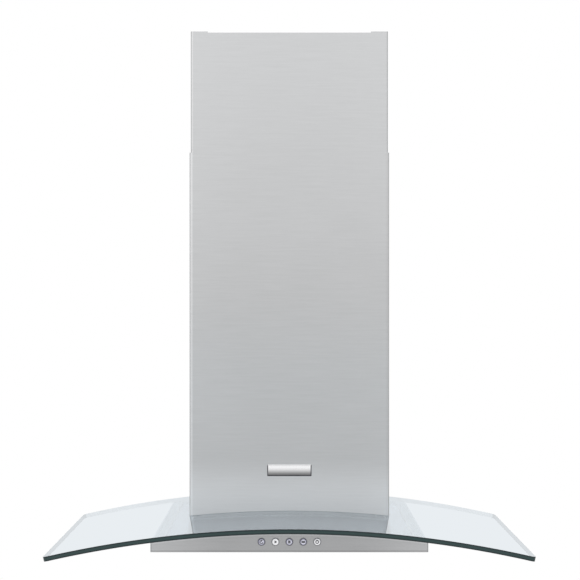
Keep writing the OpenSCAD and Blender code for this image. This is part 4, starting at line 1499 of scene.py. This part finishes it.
@dataclass
class Chimney:
    """The two flues, what fixes and guides them, and the badge plate.

    Attributes:
        canopy: The glass that the lower flue stands on.
    """

    canopy: GlassCanopy
    fold: float = 0.0004
    half_width: float = 0.1755
    front: float = -0.285
    sheet: float = 0.0008
    corner: float = 0.0015
    lip: float = 0.0003
    strip: float = 0.0003
    lip_rise: float = 0.0004
    strip_parts: int = 20
    strip_fold: float = 0.00008
    badge_low: tuple[float, float, float] = (-0.039, -0.2875, -0.2005)
    badge_high: tuple[float, float, float] = (0.039, -0.285, -0.1805)
    badge_corner: float = 0.0012
    badge_rim: float = 0.0017
    badge_sink: float = 0.0021
    badge_fall: float = 0.0006
    badge_parts: int = 14

    def build(self) -> None:
        """Eases the flues, closes their joint with the glass, and makes the badge plate."""
        self._flue("lower_flue", "hood")
        self._flue("upper_flue", "upper_chimney")
        ease_node("flue_bracket", "upper_chimney", "galvanised", Stock.ZINC, self.fold)
        ease_node("flue_clips", "hood", "galvanised", Stock.ZINC, self.fold)
        ease_node("flue_glides", "hood", "glide_nylon", Stock.NYLON, 0.0005)
        dress_node("flue_screws", Stock.SCREW_STEEL)
        self._foot()
        self._badge()

    def _flue(self, node: str, body: str) -> None:
        """A flue, with its two folded front corners, the outer face of each fold in painted shade.

        Args:
            node: The flue's node.
            body: The body that it rides on.
        """
        low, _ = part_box(node)
        flue = Shape.from_node(node, node + "_folded")
        flue.eased(self.fold).smooth().flattened().dressed(Stock.FLUE)
        # Painted shade on the outer face of each front fold.
        flue.dressed_where(
            lambda middle, normal: middle.y < low[1] + self.corner
            and abs(normal.x) > 0.15
            and middle.x * normal.x > 0,
            Stock.CREASE,
        )
        flue.mounted(body, "flue_sheet", node)

    def _foot_bar(self, low: tuple[float, float], high: tuple[float, float], side: int) -> Shape:
        """One flat bar of the foot strip, with its outer lip.

        Args:
            low: Its lowest place across and in depth, in metres.
            high: Its highest.
            side: -1 or 1 where the lip is on that side, and 0 where it is in front.

        Returns:
            The bar, upright as the flat glass is.
        """
        top = -self.canopy.thickness
        bar = Shape.block("foot_bar", (low[0], top - self.strip, low[1]), (high[0], top, high[1]))
        if side:
            outer = high[0] - self.lip if side > 0 else low[0] + self.lip
            bar.sliced(Axis.X, [outer])
        else:
            outer = low[1] + self.lip
            bar.sliced(Axis.Z, [outer])
        with bar.editing():
            bar.pick_faces(
                lambda middle, normal: normal.y < -0.9
                and (middle.x * side > outer * side if side else middle.z < outer)
            )
            bpy.ops.mesh.extrude_region_move(
                TRANSFORM_OT_translate={"value": (0.0, -self.lip_rise, 0.0)}
            )
        return bar

    def _foot(self) -> None:
        """A smoky strip that closes the joint between the flue and the glass."""
        outer = self.canopy.flat(self.half_width + self.lip)
        inner = self.canopy.flat(self.half_width - 2 * self.sheet)
        front, back = self.front - self.lip, self.front + 2 * self.sheet
        wall = self.canopy.back
        foot = self._foot_bar((-outer, front), (outer, back), 0)
        sides = [
            self._foot_bar((-outer, back), (-inner, wall), -1),
            self._foot_bar((inner, back), (outer, wall), 1),
        ]
        foot.joined(sides).named("flue_foot_strip")
        parts = self.strip_parts
        foot.sliced(Axis.X, [outer * step / parts for step in range(1 - parts, parts)])
        foot.bent(outer, self.canopy.low_r, self.canopy.low_z)
        foot.eased(self.strip_fold, 1).smooth().dressed(Stock.FOOT)
        foot.mounted("hood", "seal_silicone")

    def _badge(self) -> None:
        """A bare plate: a bevelled rim round a face that falls away to its lower edge, with
        painted shade on the rim's sides and lower edge.
        """
        low, high = self.badge_low, self.badge_high
        front, rim, parts = low[1], self.badge_rim, self.badge_parts
        edge = rim - 0.0001
        plate = Shape.block("badge", low, high)
        plate.rounded(lambda a, b: abs(a.y - b.y) > 0.001, self.badge_corner, 4)
        plate.inset(lambda middle, normal: normal.y < -0.9, rim)
        with plate.editing():
            plate.pick_points(
                lambda co: co.y < front + 1e-5
                and (abs(co.x) > high[0] - edge or not low[2] + edge < co.z < high[2] - edge)
            )
            bpy.ops.transform.translate(value=(0.0, self.badge_sink, 0.0))
        height = high[2] - low[2]
        levels = [low[2] + height * step / parts for step in range(1, parts)]
        plate.sliced(Axis.Z, levels)
        with plate.editing():
            for level in (*levels, low[2] + rim):
                fall = (high[2] - level) / height
                plate.pick_points(
                    lambda co, level=level: abs(co.z - level) < 1e-5 and co.y < front + 1e-5
                )
                bpy.ops.transform.translate(value=(0.0, self.badge_fall * fall * fall, 0.0))
        plate.eased(0.0002, 2, 30.0).smooth(25.0).dressed(Stock.CHROME)
        # Painted shade on the rim's sides and lower edge.
        plate.dressed_where(
            lambda middle, normal: middle.y < high[1] - 0.0002
            and (abs(middle.x) > high[0] - rim or middle.z < low[2] + rim),
            Stock.BADGE_RIM_SHADE,
        )
        plate.mounted("hood", "badge_chrome", "badge_plate")


class Mark(Enum):
    """The plain mark on each button."""

    POWER = "power"
    LOW = "low"
    MEDIUM = "medium"
    HIGH = "high"
    LIGHT = "light"


@dataclass
class PushButton:
    """One sprung push button in its bezel.

    Attributes:
        mark: What its face shows.
        x: Where it is across the fascia, in metres.
        stock: Its cap's finish.
    """

    mark: Mark
    x: float
    stock: Stock
    z: float = -0.285
    face: float = -0.484
    mark_y: tuple[float, float] = (-0.48432, -0.4839)
    cap_r: float = 0.0052
    stem_r: float = 0.0034
    rim_r: float = 0.0044
    wedge_r: float = 0.0027
    ring_half: float = 0.0006

    def build(self) -> None:
        """Makes the cap with its mark."""
        centre = (self.x, 0.0, self.z)
        profile = (
            (0.0, -0.475),
            (0.003, -0.475),
            (self.stem_r, -0.4754),
            (self.stem_r, -0.481),
            (self.cap_r, -0.481),
            (self.cap_r, -0.4838),
            (0.00505, -0.48425),
            (0.0047, -0.4845),
            (0.0042, -0.4846),
            (0.0038, -0.4845),
            (0.0034, -0.4842),
            (0.003, -0.48405),
            (0.0, self.face),
        )
        cap = Shape.turned("button_" + self.mark.value, profile, centre, Axis.Y, 40)
        cap.smooth(40.0).dressed(self.stock)
        if self.stock is Stock.LILAC:
            cap.dressed_where(
                lambda middle, normal: (middle.x - self.x) ** 2 + (middle.z - self.z) ** 2
                > self.rim_r**2,
                Stock.PLUM,
            )
        cap.joined(self._symbol())
        slot = "button_white" if self.stock is Stock.PEARL else "button_lilac"
        cap.mounted("key_" + self.mark.value, slot, "button_" + self.mark.value)

    def _bar(self, low: tuple[float, float], high: tuple[float, float]) -> Shape:
        """A raised bar on the cap's face, between two corners from its middle."""
        bar = Shape.block(
            "bar",
            (self.x + low[0], self.mark_y[0], self.z + low[1]),
            (self.x + high[0], self.mark_y[1], self.z + high[1]),
        )
        return bar.eased(0.0001, 2).dressed(Stock.PRINT)

    def _ring(self, radius: float, start: float, sweep: float) -> Shape:
        """A raised ring on the cap's face, from an angle and through a sweep in degrees.

        Args:
            radius: To the middle of its width, in metres.
            start: The angle that it starts from.
            sweep: How far round it goes.

        Returns:
            The ring.
        """
        (front, back), half = self.mark_y, self.ring_half
        profile = (
            (radius - half, back),
            (radius - half, front),
            (radius + half, front),
            (radius + half, back),
        )
        centre = (self.x, 0.0, self.z)
        ring = Shape.turned("ring", profile, centre, Axis.Y, 24, math.radians(sweep))
        ring.thing.location = (-self.x, 0.0, -self.z)
        ring.settled()
        ring.thing.rotation_euler = (0.0, math.radians(start), 0.0)
        ring.thing.location = (self.x, 0.0, self.z)
        return ring.settled().smooth().dressed(Stock.PRINT)

    def _wedge(self, shift: float) -> Shape:
        """A raised wedge that points to the right.

        Args:
            shift: How far it lies from the middle, in metres.

        Returns:
            The wedge.
        """
        middle, length = sum(self.mark_y) / 2, self.mark_y[1] - self.mark_y[0]
        wedge = Shape.rod("wedge", (0.0, middle, 0.0), self.wedge_r, length, 3)
        wedge.thing.rotation_euler = (0.0, -math.pi / 2, 0.0)
        wedge.thing.location = (self.x + shift, 0.0, self.z)
        return wedge.settled().eased(0.0001, 2).dressed(Stock.PRINT)

    def _symbol(self) -> list[Shape]:
        """The raised pieces of the button's mark.

        Returns:
            The pieces.
        """
        if self.mark is Mark.POWER:
            stroke = self._bar((-0.0006, 0.0004), (0.0006, 0.0031))
            return [self._ring(0.0025, 35.0, 290.0), stroke]
        if self.mark is Mark.LOW:
            return [self._wedge(0.0)]
        if self.mark is Mark.MEDIUM:
            return [self._bar((x, -0.0024), (x + 0.0016, 0.0024)) for x in (-0.0018, 0.0002)]
        if self.mark is Mark.HIGH:
            return [self._wedge(-0.0015), self._wedge(0.0015)]
        return [self._ring(0.0023, 0.0, 360.0), self._bar((-0.0011, 0.0022), (0.0011, 0.0034))]


@dataclass
class ControlPanel:
    """Five push buttons in their bezels, on the switch box."""

    pitch: float = 0.0227
    z: float = -0.285
    bezel_r: float = 0.0066
    hole_r: float = 0.00535
    sleeve_r: float = 0.006
    spring: Spring = Spring(0.0024, 0.00035, 0.01, -0.465, 0.75)
    spring_y: float = -0.475

    def build(self) -> None:
        """Makes the buttons, their bezels and springs, and dresses the box."""
        buttons = [
            PushButton(Mark.POWER, -2 * self.pitch, Stock.LILAC),
            PushButton(Mark.LOW, -self.pitch, Stock.PEARL),
            PushButton(Mark.MEDIUM, 0.0, Stock.LILAC),
            PushButton(Mark.HIGH, self.pitch, Stock.LILAC),
            PushButton(Mark.LIGHT, 2 * self.pitch, Stock.PEARL),
        ]
        for button in buttons:
            button.build()
        self._bezels([button.x for button in buttons])
        self._springs(buttons)
        ease_node("switch_box", "hood", "dark_plastic", Stock.DARK, 0.0004)

    def _bezels(self, xs: Sequence[float]) -> None:
        """Rings with a rounded lip and a sleeve through the fascia.

        Args:
            xs: Where each is across, in metres.
        """
        profile = (
            (self.hole_r, -0.481),
            (self.hole_r, -0.4827),
            (self.hole_r + 0.0002, -0.48295),
            (self.hole_r + 0.0005, -0.483),
            (self.bezel_r - 0.0003, -0.48288),
            (self.bezel_r - 0.00005, -0.48265),
            (self.bezel_r, -0.4823),
            (self.bezel_r, -0.482),
            (self.sleeve_r, -0.482),
            (self.sleeve_r, -0.481),
            (self.hole_r, -0.481),
        )
        first = Shape.turned("button_rings", profile, (xs[0], 0.0, self.z), Axis.Y, 40)
        first.smooth(40.0).dressed(Stock.BEZEL)
        rest = [first.copied("ring", (x - xs[0], 0.0, 0.0)) for x in xs[1:]]
        first.joined(rest).mounted("hood", "dark_plastic", "button_bezels")

    def _springs(self, buttons: Sequence[PushButton]) -> None:
        """One coil behind each button.

        Args:
            buttons: The buttons that they stand behind.
        """
        for button in buttons:
            name, start = button.mark.value, (button.x, self.spring_y, self.z)
            self.spring.build("spring_" + name, start, "hood", "button_springs", "press_" + name)


@dataclass
class Lamps:
    """Two recessed lamps with their driver and leads."""

    x: float = 0.165
    y: float = -0.435
    bezel_r: float = 0.035
    lens_r: float = 0.028
    sleeve_r: float = 0.0308
    prism: float = 0.0012
    lead_z: float = -0.295
    lead_r: float = 0.0015

    def build(self) -> None:
        """Makes trims and lenses, and dresses what is behind them."""
        self._trims()
        self._lenses()
        self._leads()
        dress_node("lamp_bodies", Stock.CAST_ALUMINIUM)
        ease_node("led_driver", "hood", "white_plastic", Stock.WHITE, 0.0006)

    def _pair(self, name: str, profile: Sequence[tuple[float, float]], stock: Stock) -> Shape:
        """The same turned piece at both lamps.

        Args:
            name: The piece's name.
            profile: Radius and height of each corner, in metres.
            stock: The finish.

        Returns:
            Both as one piece.
        """
        left = Shape.turned(name, profile, (-self.x, self.y, 0.0), Axis.Z, 64)
        left.smooth(28.0).dressed(stock)
        return left.joined([left.copied("right", (2 * self.x, 0.0, 0.0))])

    def _trims(self) -> None:
        """A polished ring with a rolled lip, a stepped throat and its sleeve."""
        profile = (
            (self.lens_r, -0.299),
            (self.lens_r, -0.3029),
            (self.lens_r + 0.0008, -0.30335),
            (self.lens_r + 0.002, -0.3035),
            (self.bezel_r - 0.0016, -0.3033),
            (self.bezel_r - 0.0005, -0.3028),
            (self.bezel_r, -0.3021),
            (self.bezel_r, -0.302),
            (self.sleeve_r, -0.302),
            (self.sleeve_r, -0.299),
            (self.lens_r, -0.299),
        )
        trims = self._pair("lamp_trims", profile, Stock.TRIM)
        trims.mounted("hood", "lamp_trim", "lamp_bezels")

    def _lenses(self) -> None:
        """Frosted discs with rings of prisms on the inner face."""
        profile = [(0.0, -0.303), (self.lens_r - 0.0006, -0.303), (self.lens_r, -0.3026)]
        profile.append((self.lens_r, -0.3012))
        ring = self.lens_r - 0.0015
        while ring > 0.003:
            profile += [(ring, -0.301), (ring - self.prism, -0.3016)]
            ring -= 2 * self.prism
        profile.append((0.0, -0.301))
        self._pair("lamp_glasses", profile, Stock.LENS).mounted("hood", "lamp_lens", "lamp_lenses")

    def _leads(self) -> None:
        """A lead from the driver to each lamp."""
        leads = [
            Shape.tube(name, [(x, self.y, self.lead_z) for x in xs], self.lead_r, bend)
            for name, xs, bend in (
                ("lamp_cables", (-0.07, 0.03, 0.135), 0.01),
                ("second", (-0.12, -0.1275, -0.135), 0.002),
            )
        ]
        leads[0].joined(leads[1:]).smooth(60.0).dressed(Stock.SHEATH)
        leads[0].mounted("hood", "cable_pvc", "lamp_leads")


@dataclass
class GreaseFilter:
    """One grease filter with its nets, latch and spring.

    Attributes:
        side: -1 for the left filter and 1 for the right one.
    """

    side: int
    x: tuple[float, float] = (0.0205, 0.2015)
    y: tuple[float, float] = (-0.3775, -0.074)
    pocket: tuple[float, float, float] = (0.081, 0.141, -0.345)
    levels: tuple[float, float] = (-0.2995, -0.2955)
    strand: float = 0.0009
    columns: int = 15
    rows: int = 50
    rim: float = 0.0005
    slack: float = 0.001
    spring: Spring = Spring(0.0015, 0.0003, 0.0137, -0.348, 0.56)
    spring_start: tuple[float, float, float] = (0.111, -0.3617, -0.29815)

    @property
    def hand(self) -> str:
        """The side's word."""
        return "left" if self.side < 0 else "right"

    def build(self) -> None:
        """Makes the nets and the spring, and eases the frame and latch."""
        body = "filter_" + self.hand
        ease_node(body + "_frame", body, "filter_aluminium", Stock.MESH_ALUMINIUM, 0.0005)
        latch = "latch_" + self.hand
        ease_node(latch, "latch_slider_" + self.hand, "dark_plastic", Stock.SLIDER, 0.0004)
        self._nets(body)
        x, y, z = self.spring_start
        self.spring.build(
            "latch_coil_" + self.hand,
            (self.side * x, y, z),
            body,
            "latch_spring_" + self.hand,
            latch + "_slide",
        )

    def _nets(self, body: str) -> None:
        """Two expanded nets of diamond cells, one above the other.

        Args:
            body: The body that they ride on.
        """
        nets = [self._net(level, shift) for level, shift in zip(self.levels, (0.0, 0.5))]
        both = nets[0].joined(nets[1:]).named("net_" + self.hand).dressed(Stock.MESH_ALUMINIUM)
        both.mounted(body, "filter_aluminium", body + "_mesh")

    def _net(self, level: float, shift: float) -> Shape:
        """One net: a grid whose cells are poked, so that diamonds are left between them.

        Args:
            level: Its height, in metres.
            shift: How far its cells are set over, in cells.

        Returns:
            The net.
        """
        wide, deep = self.x[1] - self.x[0], self.y[1] - self.y[0]
        clear_bench()
        bpy.ops.mesh.primitive_grid_add(
            x_subdivisions=self.columns + int(shift * 2),
            y_subdivisions=self.rows + int(shift * 2),
            size=1.0,
            location=(self.side * (self.x[0] + wide / 2), self.y[0] + deep / 2, level),
        )
        bpy.context.object.scale = (wide, deep, 1.0)
        net = Shape.fresh("net")
        with net.editing():
            bpy.ops.mesh.select_all(action="SELECT")
            bpy.ops.mesh.select_mode(type="FACE")
            bpy.ops.mesh.poke()
            low_x, high_x = sorted(self.side * x for x in self.x)
            net.pick_edges(
                lambda a, b: (abs(a.x - b.x) < 1e-6 or abs(a.y - b.y) < 1e-6)
                and low_x + self.rim < (a.x + b.x) / 2 < high_x - self.rim
                and self.y[0] + self.rim < (a.y + b.y) / 2 < self.y[1] - self.rim
            )
            bpy.ops.mesh.dissolve_edges(use_verts=False, use_face_split=False)
            net.pick_faces(
                lambda middle, normal: self.pocket[0] - self.slack
                < abs(middle.x)
                < self.pocket[1] + self.slack
                and middle.y < self.pocket[2] + self.slack
            )
            bpy.ops.mesh.delete(type="FACE")
        net.modified(
            "WIREFRAME",
            thickness=self.strand,
            use_even_offset=False,
            use_replace=True,
            use_boundary=True,
            offset=0.0,
        )
        return net


@dataclass
class Blower:
    """The fan, its motor, the scrolls and the outlet."""

    fan_y: float = -0.15
    fan_z: float = -0.097
    winding_r: tuple[float, float] = (0.026, 0.037)
    layers: int = 7
    wire_r: float = 0.011 / 14

    def build(self) -> None:
        """Eases what is seen from outside, and dresses the rest."""
        for hand in ("scroll_left", "scroll_right"):
            ease_node(hand, "hood", "scroll_sheet", Stock.SCROLL_ZINC, 0.0003)
        ease_node("outlet_collar", "hood", "collar_white", Stock.WHITE, 0.0004)
        for place in ("front", "rear"):
            flap = "damper_flap_" + place
            ease_node(flap, "damper_" + place, "damper_sheet", Stock.FLAP_ALUMINIUM, 0.0003)
        ease_node("motor_casing", "hood", "motor_case", Stock.CAST_ALUMINIUM, 0.0005)
        ease_node("motor_arms", "hood", "galvanised", Stock.ZINC, 0.0003)
        ease_node("impeller", "fan_rotor", "impeller_plastic", Stock.FAN, 0.0002)
        for node, stock in (
            ("damper_pin", Stock.GROUND_STEEL),
            ("motor_shaft", Stock.GROUND_STEEL),
            ("motor_bearings", Stock.BRONZE),
            ("stator_core", Stock.CORE_IRON),
            ("rotor_core", Stock.CORE_IRON),
            ("capacitor", Stock.WHITE),
        ):
            dress_node(node, stock)
        self._windings()

    def _windings(self) -> None:
        """The two wound heads, with a ridge for each layer of wire."""
        heads, wire = [], self.wire_r
        low_r, high_r = self.winding_r
        for outer, inner, name in ((-0.067, -0.062, "winding_heads"), (-0.017, -0.022, "head")):
            sign = 1.0 if outer < inner else -1.0
            profile = [(low_r, inner)]
            for layer in range(self.layers):
                middle = low_r + wire * (2 * layer + 1)
                for angle in map(math.radians, (160, 120, 90, 60, 20)):
                    height = outer + sign * (wire - math.sin(angle) * wire)
                    profile.append((middle + math.cos(angle) * wire, height))
            profile += [(high_r, inner), (low_r, inner)]
            head = Shape.turned(name, profile, (0.0, self.fan_y, self.fan_z), Axis.X, 72)
            heads.append(head.smooth(50.0).dressed(Stock.COPPER))
        heads[0].joined(heads[1:]).mounted("hood", "windings", "stator_windings")


@dataclass
class Wiring:
    """The mains loom, and the box that it ends in."""

    route: tuple[Point, ...] = (
        (0.056, -0.467, -0.285),
        (0.09, -0.467, -0.285),
        (0.128, -0.44, -0.28203),
        (0.132, -0.302, -0.28203),
        (0.132, -0.223, -0.28203),
        (0.132, -0.19, -0.197),
        (0.132, -0.19, 0.072),
    )
    radius: float = 0.0034
    bend: float = 0.012

    def build(self) -> None:
        """Makes the loom, and dresses the junction box."""
        loom = Shape.tube("mains_loom", self.route, self.radius, self.bend)
        loom.smooth(60.0).dressed(Stock.SHEATH).mounted("hood", "cable_pvc", "wiring_loom")
        ease_node("junction_box", "hood", "white_plastic", Stock.WHITE, 0.0005)
        ease_node("junction_box_lid", "hood", "white_plastic", Stock.WHITE, 0.0005)
        ease_node("cable_gland", "hood", "dark_plastic", Stock.DARK, 0.0004)


# Studio


class Ray(Enum):
    """A kind of ray, with its output on the Light Path node."""

    CAMERA = 0
    GLOSSY = 3
    TRANSMISSION = 6


@dataclass
class Studio:
    """The floor, the light and the camera."""

    floor_z: float = -1.85
    floor_size: float = 14.0
    floor_tone: float = 0.82
    fade: tuple[float, float] = (2.2, 6.4)
    camera: tuple[float, float, float] = (0.0, -2.956, 0.1048)
    lens: float = 94.25
    shift_x: float = 0.0011
    shift_y: float = 0.0216
    sensor: float = 36.0
    ambient: float = 0.85
    lamps: tuple[tuple[Point, Point, tuple[float, float], float], ...] = (
        ((0.0, -4.6, 1.9), (0.0, -0.28, 0.3), (4.0, 2.0), 9.5),
        ((-1.9, -3.7, 0.5), (0.0, -0.2, 0.1), (2.2, 2.6), 12.5),
        ((1.9, -3.7, 0.5), (0.0, -0.2, 0.1), (2.2, 2.6), 9.5),
    )

    def build(self) -> None:
        """Sets up the whole studio."""
        self._view()
        self._sky()
        self._floor()
        for number, (place, target, size, power) in enumerate(self.lamps):
            self._lamp(number, place, target, size, power)
        bpy.context.scene.view_settings.view_transform = "Standard"

    def _view(self) -> None:
        """The camera at the photograph's place, level and straight ahead."""
        lens = bpy.data.cameras.new("view")
        lens.lens = self.lens
        lens.sensor_width = self.sensor
        lens.shift_x, lens.shift_y = self.shift_x, self.shift_y
        thing = bpy.data.objects.new("view", lens)
        thing.location = self.camera
        thing.rotation_euler = (math.pi / 2, 0.0, 0.0)
        bpy.context.collection.objects.link(thing)
        bpy.context.scene.camera = thing

    def _sky(self) -> None:
        """White behind the object and in its reflections, and a soft grey light on it."""
        world = bpy.data.worlds.new("studio")
        bpy.context.scene.world = world
        graph = Graph(world)
        seen = self._seen(graph)
        white, soft = (
            graph.node("ShaderNodeBackground", inputs={0: PURE_WHITE, 1: strength})
            for strength in (1.0, self.ambient)
        )
        mixed = graph.node("ShaderNodeMixShader", inputs={0: seen, 1: soft, 2: white})
        graph.node("ShaderNodeOutputWorld", inputs={0: mixed})

    @staticmethod
    def _seen(graph: Graph) -> Wire:
        """1 for rays from the camera, from gloss and through glass."""
        seen, gloss, through = (
            graph.node("ShaderNodeLightPath", output=ray.value) for ray in Ray
        )
        return seen + gloss + through > 0.5

    def _floor(self) -> None:
        """A pale floor that keeps the shadow, and fades to white round it."""
        clear_bench()
        bpy.ops.mesh.primitive_grid_add(
            x_subdivisions=8,
            y_subdivisions=8,
            size=self.floor_size,
            location=(0.0, 0.0, self.floor_z),
        )
        floor = Shape.fresh("studio_floor")
        made = bpy.data.materials.new("studio_floor")
        graph = Graph(made)
        place = graph.place()
        x, y = graph.part(place, 0), graph.part(place, 1)
        far = (x * x + y * y).root().within(*self.fade)
        tone = self.floor_tone
        pale = graph.node("ShaderNodeBsdfDiffuse", inputs={0: (tone, tone, tone, 1.0)})
        white = graph.node("ShaderNodeEmission", inputs={0: PURE_WHITE, 1: 1.0})
        lit = graph.node(
            "ShaderNodeMixShader", inputs={0: far * self._seen(graph), 1: pale, 2: white}
        )
        clear = graph.node("ShaderNodeBsdfTransparent")
        back = graph.behind()
        graph.end(graph.node("ShaderNodeMixShader", inputs={0: back, 1: lit, 2: clear}))
        floor.thing.data.materials.append(made)
        floor.thing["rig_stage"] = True

    def _lamp(
        self, number: int, place: Point, target: Point, size: tuple[float, float], power: float
    ) -> None:
        """One soft box.

        Args:
            number: Its number.
            place: Where it stands, in metres.
            target: What it points at.
            size: Its width and height.
            power: Its power in watts.
        """
        light = bpy.data.lights.new(f"soft_box_{number}", "AREA")
        light.shape = "RECTANGLE"
        light.size, light.size_y = size
        light.energy = power
        thing = bpy.data.objects.new(light.name, light)
        thing.location = place
        away = Vector(place) - Vector(target)
        thing.rotation_euler = away.to_track_quat("Z", "Y").to_euler()
        bpy.context.collection.objects.link(thing)


def main() -> None:
    """Builds the hood piece by piece, then the studio."""
    logging.basicConfig(level=logging.INFO, format="%(name)s: %(message)s")
    Studio().build()
    canopy = GlassCanopy()
    for maker in (
        canopy,
        SteelBody(),
        Chimney(canopy),
        ControlPanel(),
        Lamps(),
        GreaseFilter(-1),
        GreaseFilter(1),
        Blower(),
        Wiring(),
    ):
        log.info("building %s", type(maker).__name__)
        maker.build()
    clear_bench()
    boxes = {"cad": CAD_BOX, "visual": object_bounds()}
    {name: [list(low), list(high)] for name, (low, high) in boxes.items()}


if __name__ == "__main__":
    main()
